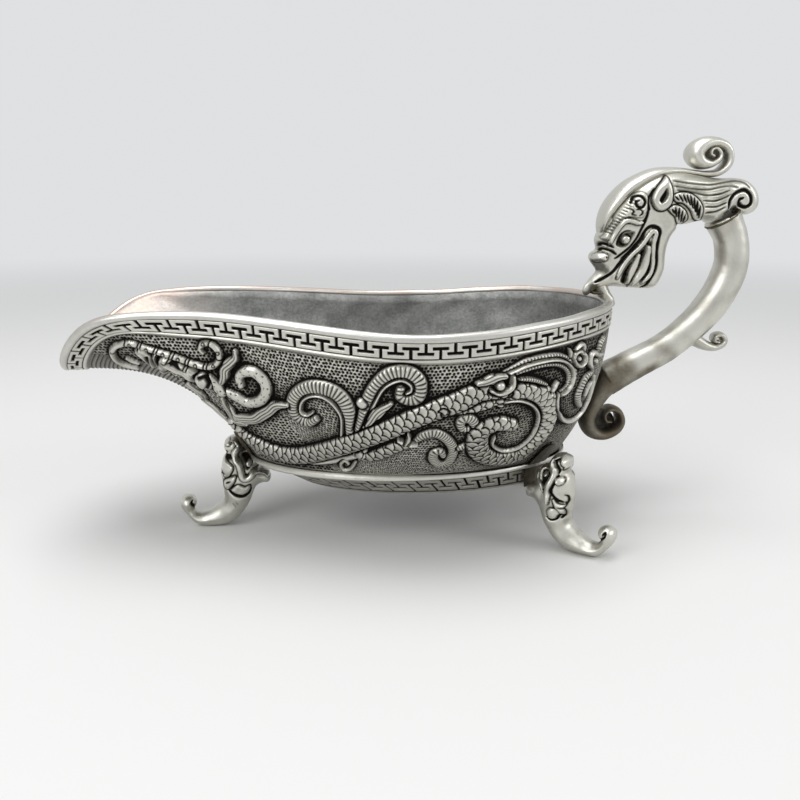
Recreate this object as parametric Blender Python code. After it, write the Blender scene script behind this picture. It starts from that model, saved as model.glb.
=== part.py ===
"""A spouted wine cup: an oval bowl on three mask legs, with a dragon head handle that bites the rim.

Units are metres and +Z is up. The spout points to -X and the handle to +X.
The cup stands on z = 0, and its length runs about evenly to both sides of the origin.
"""
import math

import bmesh
import bpy
import numpy as np

MM = 0.001

# Bowl, seen from above: half an ellipse at the back, a neck, and a rounded spout
bowl_back = 42.5 * MM
bowl_half_width = 33.7 * MM
spout_reach = 74.2 * MM
spout_half_width = 20.4 * MM
spout_round = 19.3 * MM

# Bowl, seen from the side: heights of the rim
rim_waist_height = 48.7 * MM
rim_back_height = 51.2 * MM
rim_crown_height = 51.6 * MM
rim_crown_reach = 45.2 * MM
spout_tip_height = 37.9 * MM
spout_droop = 3.9

# Foot of the bowl: a bead oval above a flat underside
bead_height = 17.5 * MM
bead_centre = -1.0 * MM
bead_half_length = 34.5 * MM
bead_half_width = 20.2 * MM
base_height = 12.5 * MM
base_centre = 3.0 * MM
base_half_length = 29.0 * MM
base_half_width = 16.6 * MM

# Shape of the walls: how full the belly is, and how hollow the keel below the spout is
belly_fullness = 2.3
keel_hollow = 3.1
keel_start = math.radians(98.0)
wall = 2.0 * MM
lip_radius = 1.3 * MM
floor_thickness = 2.2 * MM

# Joints between the soldered pieces
clearance = 0.3 * MM
braze_thickness = 0.6 * MM
braze_spread = 0.5 * MM

# Legs: how far they stand out from the bead, where on it, and the height of the mask above the foot
front_leg_overhang = 7.5 * MM
rear_leg_overhang = 10.25 * MM
rear_leg_place = math.radians(43.3)
rear_leg_heading = math.radians(40.7)
leg_half_width = 3.8 * MM
mask_rise = 8.0 * MM

# Handle: its datum behind the bowl's back, the stem's radius, and the half widths of the head and its trim
handle_standoff = 2.0 * MM
handle_datum = bowl_back + handle_standoff
stem_radius = 3.6 * MM
head_half_width = 5.2 * MM
crest_half_width = 1.9 * MM
crest_thickness = 2.6 * MM
coil_radius = 4.0 * MM
coil_half_width = 2.3 * MM
spur_radius = 2.1 * MM
foot_scroll_radius = 4.4 * MM
coil_groove = 0.25 * MM

# Relief on the outside of the bowl: a dragon on each side, drawn in the side view
relief_height = 1.1 * MM
trunk_half_width = 2.0 * MM
limb_half_width = 1.4 * MM
strand_half_width = 0.9 * MM

# Fineness of the round forms
bowl_columns = 52
bowl_rows = 8
inner_rows = 5
section_sides = 8
relief_sides = 4
steps_per_span = 2

materials = {}


def clear_scene():
    for old in list(bpy.data.objects):
        bpy.data.objects.remove(old, do_unlink=True)


def metal(name, colour, roughness):
    """A metal finish with its own colour and roughness."""
    if name not in materials:
        finish = bpy.data.materials.new(name)
        finish.use_nodes = True
        shader = finish.node_tree.nodes["Principled BSDF"]
        shader.inputs["Base Color"].default_value = (*colour, 1.0)
        shader.inputs["Roughness"].default_value = roughness
        shader.inputs["Metallic"].default_value = 1.0
        materials[name] = finish
    return materials[name]


def plate_finish():
    return metal("antiqued_plate", (0.36, 0.36, 0.33), 0.42)


def cast_finish():
    return metal("polished_casting", (0.48, 0.46, 0.40), 0.36)


def braze_finish():
    return metal("braze", (0.50, 0.42, 0.26), 0.50)


def add_object(name, points, faces):
    """A new object whose mesh has these points and faces."""
    mesh = bpy.data.meshes.new(name)
    mesh.from_pydata([tuple(p) for p in points], [], faces)
    mesh.validate()
    result = bpy.data.objects.new(name, mesh)
    bpy.context.collection.objects.link(result)
    return result


def skin_rings(name, rings, closed_start, closed_end):
    """A closed solid through rings of equal point count, capped flat or by a single pole at each end."""
    count = len(rings[0])
    points = [p for ring in rings for p in ring]
    faces = []
    for row in range(len(rings) - 1):
        low = row * count
        for i in range(count):
            j = (i + 1) % count
            faces.append((low + i, low + j, low + count + j, low + count + i))
    last = (len(rings) - 1) * count
    if closed_start is None:
        faces.append(tuple(reversed(range(count))))
    else:
        points.append(closed_start)
        pole = len(points) - 1
        faces.extend((pole, (i + 1) % count, i) for i in range(count))
    if closed_end is None:
        faces.append(tuple(range(last, last + count)))
    else:
        points.append(closed_end)
        pole = len(points) - 1
        faces.extend((pole, last + i, last + (i + 1) % count) for i in range(count))
    return add_object(name, points, faces)


def smooth(values, steps):
    """A Catmull-Rom curve through the values, with this many steps per span."""
    values = np.asarray(values, dtype=float)
    padded = np.vstack([2 * values[0] - values[1], values, 2 * values[-1] - values[-2]])
    curve = []
    for i in range(1, len(padded) - 2):
        a, b, c, d = padded[i - 1:i + 3]
        for s in np.arange(steps) / steps:
            curve.append(b + 0.5 * s * (c - a + s * (2 * a - 5 * b + 4 * c - d + s * (3 * (b - c) + d - a))))
    curve.append(values[-1])
    return np.array(curve)


def sweep(name, stations, steps=steps_per_span, sides=section_sides, round_start=True, round_end=True):
    """A solid along a curve. Each station is x, y, z, its half height across the curve, its half width."""
    curve = smooth(stations, steps)
    path = curve[:, :3]
    tangent = np.gradient(path, axis=0)
    tangent /= np.linalg.norm(tangent, axis=1)[:, None]
    side = np.array([0.0, 1.0, 0.0]) - tangent * tangent[:, 1:2]
    side /= np.linalg.norm(side, axis=1)[:, None]
    across = np.cross(side, tangent)
    angle = np.arange(sides) * 2 * math.pi / sides

    def ring(i, scale, shift):
        tall = np.outer(np.cos(angle) * curve[i, 3], across[i])
        wide = np.outer(np.sin(angle) * curve[i, 4], side[i])
        spread = tall + wide
        return list(path[i] + tangent[i] * shift + spread * scale)

    rings = [ring(i, 1.0, 0.0) for i in range(len(path))]
    start = end = None
    dome = (math.radians(35), math.radians(65))
    if round_start:
        depth = min(curve[0, 3], curve[0, 4])
        rings = [ring(0, math.cos(d), -depth * math.sin(d)) for d in reversed(dome)] + rings
        start = path[0] - tangent[0] * depth
    if round_end:
        depth = min(curve[-1, 3], curve[-1, 4])
        rings += [ring(-1, math.cos(d), depth * math.sin(d)) for d in dome]
        end = path[-1] + tangent[-1] * depth
    return skin_rings(name, rings, start, end)


def ball(name, centre, radii):
    """An ellipsoid."""
    x, y, z = centre
    rx, ry, rz = radii
    return sweep(name, [(x - 0.5 * rx, y, z, 0.87 * rz, 0.87 * ry), (x, y, z, rz, ry),
                        (x + 0.5 * rx, y, z, 0.87 * rz, 0.87 * ry)], steps=1, sides=6)


def coil_thickness(radius, turns):
    """Half thickness of a coil's bar that leaves a groove between its turns."""
    return (radius / abs(turns) - coil_groove) / (1.7 / abs(turns) + 1.65)


def scroll(centre, radius, start_angle, turns, half_width, lead):
    """Stations of a coil in the XZ plane that winds inwards. The lead stations come before it."""
    stations = list(lead)
    x, y, z = centre
    thickness = coil_thickness(radius, turns)
    count = max(6, int(9 * abs(turns)))
    for i in range(count + 1):
        s = i / count
        angle = start_angle + 2 * math.pi * turns * s
        reach = (radius - thickness) * (1 - s) + 0.7 * thickness * s
        stations.append((x + reach * math.cos(angle), y, z + reach * math.sin(angle),
                         thickness * (1 - 0.45 * s), half_width * (1 - 0.2 * s)))
    return stations


def disc(name, centre, radius, half_width):
    """A flat round web in the XZ plane."""
    x, y, z = centre
    angle = np.arange(section_sides) * 2 * math.pi / section_sides
    rings = [[(x + radius * math.cos(a), y + level, z + radius * math.sin(a)) for a in angle]
             for level in (half_width, -half_width)]
    return skin_rings(name, rings, None, None)


def combine(target, others, operation, solver='EXACT'):
    """Join, cut or intersect the target with the other objects, which are used up."""
    for other in others:
        other.hide_render = True
        other.display_type = 'WIRE'
        change = target.modifiers.new(operation.lower(), 'BOOLEAN')
        change.operation = operation
        change.solver = solver
        change.object = other
    bpy.context.view_layer.update()
    state = target.evaluated_get(bpy.context.evaluated_depsgraph_get())
    mesh = bpy.data.meshes.new_from_object(state)
    target.modifiers.clear()
    target.data = mesh
    for other in others:
        bpy.data.objects.remove(other, do_unlink=True)
    return target


def drop_slivers(target):
    """Remove loose pairs of faces with nothing between them, which a union can leave along a seam."""
    shell = bmesh.new()
    shell.from_mesh(target.data)
    waiting = set(shell.faces)
    slivers = []
    while waiting:
        island = {waiting.pop()}
        edge = list(island)
        while edge:
            face = edge.pop()
            beside = {other for corner in face.verts for other in corner.link_faces} - island
            island |= beside
            edge.extend(beside)
        waiting -= island
        if len(island) < 4:
            slivers.extend(island)
    bmesh.ops.delete(shell, geom=slivers, context='FACES')
    shell.to_mesh(target.data)
    shell.free()
    return target


def finish(target, material, sharp_angle=40):
    """Shade the piece smooth and give it its material."""
    target.data.materials.clear()
    target.data.materials.append(material)
    target.data.shade_smooth()
    target.data.set_sharp_from_angle(angle=math.radians(sharp_angle))
    return target


def ease(s):
    """A smooth step from 0 to 1."""
    s = np.clip(s, 0.0, 1.0)
    return s * s * (3 - 2 * s)


def rim_half_width(x):
    """Half width of the rim at a place between the waist and the tip of the spout."""
    neck = spout_reach - spout_round
    taper = 0.5 + 0.5 * np.cos(math.pi * np.clip(-x / neck, 0, 1))
    width = spout_half_width + (bowl_half_width - spout_half_width) * taper
    past = np.clip((-x - neck) / spout_round, 0, 1)
    return width * np.sqrt(1 - past ** 2)


def rim_height(x):
    """Height of the rim's top at a place along the cup."""
    back = rim_waist_height + (rim_back_height - rim_waist_height) * (
        0.5 - 0.5 * np.cos(math.pi * np.clip(x / bowl_back, 0, 1)))
    front = rim_waist_height + (rim_crown_height - rim_waist_height) * (
        0.5 - 0.5 * np.cos(math.pi * np.clip(-x / rim_crown_reach, 0, 1)))
    past = np.clip((-x - rim_crown_reach) / (spout_reach - rim_crown_reach), 0, 1)
    droop = (rim_crown_height - spout_tip_height) * past ** spout_droop
    return np.where(x > 0, back, front - droop)


def rim_points(turn):
    """Centre line of the lip, for turns of 0 at the back, a quarter at the side and a half at the spout."""
    forward = np.cos(turn)
    x = np.where(forward > 0, bowl_back * forward, spout_reach * forward)
    y = np.where(forward > 0, bowl_half_width * np.sin(turn), np.sign(np.sin(turn)) * rim_half_width(x))
    z = rim_height(x) - lip_radius
    overhang = lip_radius - wall / 2 * (1 - keel_share(turn))
    inset = 1 - overhang / np.hypot(x, y)
    return np.stack([x * inset, y * inset, z], axis=-1)


def oval(turn, centre, half_length, half_width, height):
    return np.stack([centre + half_length * np.cos(turn), half_width * np.sin(turn),
                     np.full_like(turn, height)], axis=-1)


def keel_share(turn):
    """How far the wall has turned from the round belly, at 0, into the keel below the spout, at 1."""
    from_back = np.abs((turn + math.pi) % (2 * math.pi) - math.pi)
    return ease((from_back - keel_start) / (math.pi - keel_start))


def outer_point(turn, rise):
    """A point of the bowl's outside, from the bead at rise 0 to the lip at rise 1."""
    low = oval(turn, bead_centre, bead_half_length, bead_half_width, bead_height)
    high = rim_points(turn)
    keel = keel_share(turn)
    outwards = (1 - keel) * (1 - (1 - rise) ** belly_fullness) + keel * rise
    upwards = (1 - keel) * rise + keel * (1 - (1 - rise) ** keel_hollow)
    share = np.stack([outwards, outwards, upwards], axis=-1)
    return low + (high - low) * share


def outer_normal(turn, rise):
    """Direction straight out of the bowl's outside."""
    step = 1e-4
    low = np.maximum(rise - step, 0)
    high = np.minimum(rise + step, 1)
    along = outer_point(turn + step, rise) - outer_point(turn - step, rise)
    up = outer_point(turn, high) - outer_point(turn, low)
    normal = np.cross(along, up)
    return normal / np.linalg.norm(normal, axis=-1)[:, None]


def bowl_rings(turn, offset):
    """Rings of the bowl's outside, grown by an offset, from the underside to the lip."""
    rings = [oval(turn, base_centre, base_half_length + offset, base_half_width + offset,
                  base_height - offset)]
    for rise in np.linspace(0, 1, bowl_rows + 1) ** 1.3:
        level = np.full_like(turn, rise)
        rings.append(outer_point(turn, level) + outer_normal(turn, level) * offset)
    return rings


def envelope(name, offset):
    """The bowl filled up solid and grown by an offset, used to seat the legs and the handle."""
    turn = np.arange(bowl_columns) * 2 * math.pi / bowl_columns
    top = (0.0, 0.0, rim_crown_height + bead_height)
    return skin_rings(name, [list(r) for r in bowl_rings(turn, offset)], None, top)


def make_bowl():
    turn = np.arange(bowl_columns) * 2 * math.pi / bowl_columns
    rings = bowl_rings(turn, 0.0)
    ends = np.full_like(turn, 1.0)
    outward = outer_normal(turn, ends)
    upward = outer_point(turn, ends) - outer_point(turn, ends - 0.02)
    upward /= np.linalg.norm(upward, axis=1)[:, None]
    lip_centre = outer_point(turn, ends) - outward * wall / 2
    rings = rings[:-1]
    for angle in np.radians((-30, 30, 90, 150, 210)):
        rings.append(lip_centre + lip_radius * (math.cos(angle) * outward + math.sin(angle) * upward))
    for rise in reversed(np.linspace(0, 0.93, inner_rows) ** 1.3):
        level = np.full_like(turn, rise)
        inner = outer_point(turn, level) - outer_normal(turn, level) * wall
        inner[:, 2] = np.maximum(inner[:, 2], base_height + 1.5 * floor_thickness)
        rings.append(inner)
    rings.append(oval(turn, base_centre, base_half_length - wall, base_half_width - wall,
                      base_height + floor_thickness))
    bowl = skin_rings("bowl", [list(r) for r in rings], None, None)
    combine(bowl, relief_bars(-1) + relief_bars(1), 'UNION', 'MANIFOLD')
    return finish(drop_slivers(bowl), plate_finish())


def wall_spots(places):
    """Points of the wall's left side, from places along the cup and heights."""
    places = np.array(places)
    turn, rise = np.meshgrid(np.linspace(0.1, math.pi - 0.1, 80), np.linspace(0.02, 0.98, 30))
    turn, rise = turn.ravel(), rise.ravel()
    known = outer_point(turn, rise)[:, [0, 2]]
    start = [np.argmin(np.sum((known - place) ** 2, axis=1)) for place in places]
    turn, rise = turn[start], rise[start]
    step = 1e-4
    for _ in range(8):
        here = outer_point(turn, rise)[:, [0, 2]]
        by_turn = (outer_point(turn + step, rise)[:, [0, 2]] - here) / step
        by_rise = (outer_point(turn, rise + step)[:, [0, 2]] - here) / step
        move = np.linalg.solve(np.stack([by_turn, by_rise], axis=-1), (places - here)[..., None])[..., 0]
        turn = turn + move[:, 0]
        rise = np.clip(rise + move[:, 1], 0.0, 0.98)
    return outer_point(turn, rise)


def curl(x, z, radius, start, turn, count=6):
    """Places along a curl that tightens to half its radius. The angles are in degrees."""
    share = np.arange(count + 1) / count
    reach = radius * (1 - 0.5 * share ** 3)
    angle = np.radians(start + turn * share)
    return [(x + r * math.cos(a), z + r * math.sin(a)) for r, a in zip(reach, angle)]


def relief_bars(hand):
    """The dragon on one side of the bowl, as bars along places of the side view, in millimetres.

    The hand is -1 on the right side and 1 on the left.
    """
    trunk = trunk_half_width
    limb = limb_half_width
    strand = strand_half_width
    bars = [
        ("trunk", trunk, [(-32.5, 22.6), (-27.0, 21.9), (-21.3, 23.2), (-10.6, 28.6), (-0.1, 33.9),
                          (9.3, 37.6), (13.8, 37.4)]),
        ("body", trunk, [(13.9, 36.4), (18.2, 38.3)] + curl(16.8, 28.6, 8.6, 62, -330, 8)),
        ("scroll_front", limb, [(-14.4, 28.5)] + curl(-20.0, 33.6, 5.2, -8, 250, 6)),
        ("scroll_back", limb, [(-12.8, 30.2), (-11.4, 34.5)] + curl(-6.0, 38.0, 4.1, 165, -215)),
        ("hind_leg", limb, [(-13.2, 24.3), (-8.8, 24.3), (-2.5, 27.4)] + curl(2.1, 25.4, 3.6, 105, -205)),
        ("mane", strand, [(13.7, 40.5), (17.9, 42.4), (21.8, 43.1), (25.6, 42.6), (28.8, 40.0), (29.3, 36.9),
                          (27.6, 35.1)]),
        ("horn", limb, [(-39.4, 36.0), (-36.5, 35.2)] + curl(-32.6, 37.4, 3.5, -110, 280)),
        ("beard", limb, [(-39.5, 34.4), (-36.8, 30.2), (-33.8, 29.7), (-28.7, 33.5), (-25.9, 34.4)]),
        ("chin", trunk, [(-43.9, 32.6), (-38.9, 28.1), (-33.5, 25.0)]),
        ("cheek", trunk, [(-50.4, 41.0), (-47.6, 40.0), (-43.4, 38.1)]),
        ("whisker", strand, [(-59.4, 40.9), (-60.0, 42.9), (-58.1, 44.9), (-52.2, 44.3), (-46.8, 42.1),
                             (-41.0, 41.0), (-38.6, 43.3)])]
    made = []
    for name, half_width, places in bars:
        spots = wall_spots(np.array(places) * MM)
        stations = [(x, hand * y, z, half_width, relief_height) for x, y, z in spots]
        made.append(sweep(name, stations, steps=1, sides=relief_sides))
    return made


def leg_body(name, grow):
    """The cast leg before it is fitted: a mask, a shin and a foot whose toe curls up."""
    w = leg_half_width + grow

    def at(x, z, high, wide):
        return (x * MM, 0.0, z * MM, high * MM + grow, wide * w)

    rise = mask_rise / MM
    return sweep(name, [
        at(-5.2, rise + 11.6, 3.2, 0.65), at(-5.8, rise + 8.5, 5.2, 0.95), at(-5.8, rise + 4.5, 5.6, 1.0),
        at(-4.2, rise + 0.5, 4.1, 0.85), at(-1.6, 4.8, 2.9, 0.75), at(2.0, 1.9, 2.3, 0.65),
        at(5.4, 1.7, 1.7, 0.56), at(8.0, 3.7, 1.2, 0.5), at(8.4, 6.0, 1.0, 0.45), at(6.9, 6.9, 0.8, 0.4)])


def make_leg(name, location, heading):
    """One leg with its eyes, nose, brow and heel curl, cut flat below and fitted to the bowl above."""
    leg = leg_body(name, 0.0)
    rise = mask_rise
    eye_side = 0.82 * leg_half_width
    extras = [ball("nose", (-0.6 * MM, 0, rise + 4.6 * MM), (1.5 * MM, 2.2 * MM, 1.2 * MM)),
              ball("chin", (-0.8 * MM, 0, rise + 1.2 * MM), (1.3 * MM, 2.0 * MM, 1.0 * MM)),
              sweep("heel_curl", [(-6.0 * MM, 0, rise + 1.0 * MM, 1.5 * MM, 2.2 * MM),
                                  (-8.0 * MM, 0, rise + 2.0 * MM, 1.4 * MM, 2.2 * MM),
                                  (-9.4 * MM, 0, rise + 3.6 * MM, 1.0 * MM, 1.8 * MM)])]
    for hand in (-1, 1):
        extras.append(ball("eye", (-2.4 * MM, hand * eye_side, rise + 7.2 * MM),
                           (1.0 * MM, 1.1 * MM, 1.0 * MM)))
        extras.append(sweep("brow", [(-4.8 * MM, hand * eye_side, rise + 9.6 * MM, 0.8 * MM, 1.2 * MM),
                                     (-2.4 * MM, hand * eye_side, rise + 9.3 * MM, 0.8 * MM, 1.2 * MM),
                                     (-0.9 * MM, hand * eye_side * 0.7, rise + 8.0 * MM, 0.6 * MM, 1.0 * MM)],
                            steps=1, sides=6))
    combine(leg, extras, 'UNION')
    leg.location = location
    leg.rotation_euler = (0, 0, heading)
    floor = box("floor", (-0.1, -0.1, -0.05), (0.1, 0.1, 0.0))
    combine(leg, [floor, envelope("seat", 2 * clearance + braze_thickness)], 'DIFFERENCE')
    finish(leg, cast_finish())

    braze = leg_body(name + "_braze", braze_spread)
    braze.location = location
    braze.rotation_euler = (0, 0, heading)
    combine(braze, [envelope("outside", clearance + braze_thickness)], 'INTERSECT')
    combine(braze, [envelope("inside", clearance)], 'DIFFERENCE')
    finish(braze, braze_finish())


def box(name, low, high):
    (x0, y0, z0), (x1, y1, z1) = low, high
    rings = [[(x0, y0, z), (x1, y0, z), (x1, y1, z), (x0, y1, z)] for z in (z0, z1)]
    return skin_rings(name, rings, None, None)


def leg_spot(place, heading, overhang):
    """Where a leg stands: straight out from a place on the bead."""
    x, y, z = oval(np.array(place), bead_centre, bead_half_length, bead_half_width, 0.0)
    return (x + overhang * math.cos(heading), y + overhang * math.sin(heading), 0.0)


def make_legs():
    make_leg("front_leg", leg_spot(math.pi, math.pi, front_leg_overhang), math.pi)
    for name, hand in (("right_rear_leg", -1), ("left_rear_leg", 1)):
        heading = hand * rear_leg_heading
        make_leg(name, leg_spot(hand * rear_leg_place, heading, rear_leg_overhang), heading)


def handle_at(x, z, high, wide, y=0.0):
    """A station of the handle, in millimetres from its datum behind the top of the rim."""
    return (handle_datum + x * MM, y * MM, rim_back_height + z * MM, high * MM, wide * MM)


def stem_stations():
    r = stem_radius / MM
    return [handle_at(23.8, 15.8, r, r), handle_at(26.0, 11.9, r, r), handle_at(26.5, 7.6, r + 0.1, r),
            handle_at(25.6, 3.3, r + 0.2, r), handle_at(23.0, -2.0, r + 0.1, r),
            handle_at(18.8, -7.0, r - 0.2, r), handle_at(12.8, -12.0, r - 0.2, r),
            handle_at(5.5, -15.9, r, r + 0.1), handle_at(-1.5, -19.6, r + 0.5, r + 0.4),
            handle_at(-7.0, -22.4, r + 0.8, r + 0.6)]


def make_stem():
    """The curved stem, with the scroll that its foot rolls up into."""
    stem = sweep("handle_stem", stem_stations(), sides=12, round_start=False)
    centre = (handle_datum + 1.2 * MM, 0, rim_back_height - 29.4 * MM)
    turns = 1.35
    thick = coil_thickness(foot_scroll_radius, turns)
    lead = [handle_at(-2.6, -21.0, thick / MM + 0.5, 2.8), handle_at(-2.6, -25.5, thick / MM + 0.2, 2.9)]
    coil = scroll(centre, foot_scroll_radius, math.radians(195), turns, 2.9 * MM, lead)
    tail = sweep("foot_scroll", coil, steps=2, sides=7)
    web = disc("web", centre, foot_scroll_radius - thick, 1.3 * MM)
    combine(stem, [tail, web], 'UNION', 'MANIFOLD')
    combine(stem, [envelope("seat", 2 * clearance + braze_thickness)], 'DIFFERENCE', 'MANIFOLD')
    finish(stem, cast_finish())

    r = stem_radius / MM + braze_spread / MM
    braze = sweep("handle_braze", [handle_at(5.5, -15.9, r, r), handle_at(-1.5, -19.6, r + 0.6, r + 0.5),
                                   handle_at(-7.0, -22.4, r + 0.8, r + 0.7)], sides=15)
    combine(braze, [envelope("outside", clearance + braze_thickness)], 'INTERSECT')
    combine(braze, [envelope("inside", clearance)], 'DIFFERENCE')
    finish(braze, braze_finish())


def make_spur():
    """The small curl on the outside of the stem, seated on it."""
    centre = (handle_datum + 25.3 * MM, 0, rim_back_height - 11.1 * MM)
    lead = [handle_at(18.0, -11.3, 0.9, 1.7), handle_at(21.5, -12.5, 0.7, 1.6)]
    stations = scroll(centre, spur_radius, math.radians(-110), 1.1, 1.5 * MM, lead)
    spur = sweep("handle_spur", stations, steps=1, sides=8)
    combine(spur, [disc("web", centre, spur_radius - 0.7 * MM, 0.7 * MM)], 'UNION')
    grown = [(x, y, z, high + clearance, wide + clearance) for x, y, z, high, wide in stem_stations()]
    combine(spur, [sweep("seat", grown, sides=12, round_start=False)], 'DIFFERENCE')
    finish(spur, cast_finish())


def neck_frame():
    """The middle of the stem's upper end and the direction in which it points."""
    path = smooth([s[:3] for s in stem_stations()], steps_per_span)
    direction = path[0] - path[1]
    return path[0], direction / np.linalg.norm(direction)


def make_neck_braze():
    """The solder ring between the stem and the head."""
    place, axis = neck_frame()
    r = stem_radius + 0.3 * MM
    low = place + axis * clearance
    high = low + axis * braze_thickness
    middle = (low + high) / 2
    stations = [(*low, r, r), (*middle, r + 0.2 * MM, r + 0.2 * MM), (*high, r, r)]
    ring = sweep("neck_braze", stations, steps=1, sides=16, round_start=False, round_end=False)
    finish(ring, braze_finish())


def crest_stations():
    """The crest strip over the forehead, which runs back and winds up into a coil."""
    h = crest_thickness / 2 / MM
    w = crest_half_width / MM
    lead = [handle_at(-3.9, 13.6, 0.7 * h, 0.7 * w), handle_at(-3.2, 17.6, h, w), handle_at(-0.9, 21.4, h, w),
            handle_at(3.3, 24.3, h, w), handle_at(8.2, 25.8, h, w), handle_at(13.0, 26.2, h, w)]
    return scroll(coil_centre(), coil_radius, math.radians(-95), 1.3, coil_half_width, lead)


def coil_centre():
    return (handle_datum + 18.9 * MM, 0.0, rim_back_height + 25.2 * MM + coil_radius)


def make_crest():
    crest = sweep("head_crest", crest_stations(), steps=2, sides=6)
    web = disc("web", coil_centre(), coil_radius - 1.0 * MM, 1.4 * MM)
    combine(crest, [web], 'UNION')
    finish(crest, cast_finish())


def make_head():
    """The dragon head: skull, beak, jaw, tongue, brows, eyes, ears, gills and a mane with a curled end."""
    place, axis = neck_frame()
    joint = place + axis * (2 * clearance + braze_thickness)
    r = stem_radius + 0.3 * MM
    neck = sweep("neck", [(*(joint - axis * MM), r, r), (*(joint + axis * 3 * MM), r, r)], steps=1, sides=15,
                 round_start=False)
    wide = 1.5 * stem_radius
    below = sweep("neck_seat", [(*(joint - axis * stem_radius), wide, wide), (*joint, wide, wide)], steps=1,
                  round_start=False, round_end=False)
    w = head_half_width / MM
    skull = sweep("dragon_head", [
        handle_at(21.4, 20.6, 3.0, 0.75 * w), handle_at(17.5, 21.2, 4.0, 0.92 * w),
        handle_at(12.0, 20.9, 4.3, 0.97 * w), handle_at(6.5, 18.6, 5.4, w),
        handle_at(2.0, 14.7, 5.0, 0.92 * w), handle_at(-1.3, 10.5, 3.1, 0.64 * w),
        handle_at(-2.9, 8.5, 1.8, 0.42 * w)], sides=10)
    parts = [
        neck,
        sweep("beak", [handle_at(2.6, 11.2, 2.8, 3.3), handle_at(-0.8, 7.2, 2.0, 2.5),
                       handle_at(-3.8, 3.9, 1.3, 1.7), handle_at(-6.0, 1.6, 0.7, 0.9)], sides=9),
        sweep("jaw", [handle_at(12.8, 17.4, 1.8, 4.0), handle_at(11.4, 13.2, 1.6, 3.8),
                      handle_at(10.1, 8.8, 1.4, 3.5), handle_at(9.8, 4.8, 1.3, 3.2),
                      handle_at(8.0, 2.5, 1.1, 2.8), handle_at(4.9, 2.2, 0.7, 1.6)], sides=9),
        sweep("tongue", [handle_at(8.6, 14.6, 1.5, 2.0), handle_at(6.8, 9.6, 1.2, 1.8),
                         handle_at(5.6, 5.4, 0.9, 1.4), handle_at(4.4, 3.4, 0.6, 1.0)], sides=7),
        sweep("mouth_web", [handle_at(9.2, 14.0, 2.6, 0.9), handle_at(8.4, 8.6, 2.2, 0.9),
                            handle_at(7.6, 4.6, 1.6, 0.9)], sides=7)]
    for hand in (-1, 1):
        parts += head_side(hand)
    combine(skull, parts, 'UNION', 'MANIFOLD')
    combine(skull, crest_seat() + [below], 'DIFFERENCE', 'MANIFOLD')
    finish(skull, cast_finish())


def crest_seat():
    """The room that the crest and its coil take up in the head, with clearance."""
    strip = [(x, y, z, high + clearance, wide + clearance) for x, y, z, high, wide in crest_stations()]
    before_coil = next(i for i, s in enumerate(strip) if s[0] > coil_centre()[0])
    return [sweep("strip_seat", strip[:before_coil + 2], steps=2),
            disc("coil_seat", coil_centre(), coil_radius + clearance, coil_half_width + clearance)]


def head_side(hand):
    """What one side of the head carries. The hand is -1 on the right side and 1 on the left."""
    w = head_half_width / MM
    side = hand * w

    def at(x, z, high, wide, share):
        return handle_at(x, z, high, wide, side * share)

    mane_curl = (handle_datum + 27.7 * MM, hand * 1.6 * MM, rim_back_height + 19.7 * MM)
    lead = [at(13.0, 23.6, 1.0, 1.6, 0.62), at(19.0, 23.7, 1.0, 1.7, 0.6), at(25.0, 22.9, 0.9, 1.6, 0.4)]
    mane = scroll(mane_curl, 3.1 * MM, math.radians(70), -1.1, 1.5 * MM, lead)
    fang = fang_foot()
    return [
        sweep("mane", mane, steps=1, sides=6),
        sweep("mane_low", [at(13.5, 20.2, 1.2, 1.4, 0.8), at(18.5, 19.6, 1.2, 1.5, 0.75),
                           at(23.0, 18.9, 1.0, 1.4, 0.5), at(26.2, 18.6, 0.8, 1.2, 0.32)], steps=1, sides=6),
        sweep("brow", [at(-2.2, 13.2, 0.8, 0.9, 0.55), at(1.0, 16.8, 1.1, 1.2, 0.82),
                       at(5.2, 20.2, 1.3, 1.3, 0.88)], steps=1, sides=6),
        ball("eye", (handle_datum + 1.9 * MM, side * 0.86 * MM, rim_back_height + 12.2 * MM),
             (1.3 * MM, 1.2 * MM, 1.2 * MM)),
        ball("nostril", (handle_datum - 2.9 * MM, hand * 1.7 * MM, rim_back_height + 8.2 * MM),
             (1.9 * MM, 1.7 * MM, 1.9 * MM)),
        sweep("ear", [at(9.4, 18.4, 1.7, 1.3, 0.95), at(9.5, 21.0, 2.1, 1.3, 1.0),
                      at(9.9, 23.4, 1.3, 1.0, 0.96), at(10.3, 25.0, 0.5, 0.6, 0.9)], steps=1, sides=6),
        sweep("gill_upper", [at(12.6, 20.6, 1.0, 1.0, 0.95), at(16.0, 19.0, 1.4, 1.1, 0.92),
                             at(18.4, 16.9, 0.7, 0.8, 0.8)], steps=1, sides=6),
        sweep("gill_lower", [at(11.4, 18.9, 1.3, 1.0, 0.86), at(13.4, 17.0, 1.2, 1.0, 0.84),
                             at(15.0, 15.8, 0.6, 0.8, 0.76)], steps=1, sides=6),
        sweep("fang", [(handle_datum - 3.0 * MM, hand * 1.3 * MM, rim_back_height + 4.6 * MM, 0.9 * MM,
                        0.8 * MM),
                       (fang[0], hand * 1.3 * MM, fang[2] + 1.4 * MM, 0.75 * MM, 0.7 * MM),
                       (fang[0], hand * 1.3 * MM, fang[2], 0.6 * MM, 0.6 * MM)],
              steps=1, sides=6, round_end=False)]


def fang_foot():
    """The place, above the rim's crown, where the fangs end."""
    return (bowl_back - lip_radius - wall / 2, 0.0, rim_back_height + 2 * clearance + braze_thickness)


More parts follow.
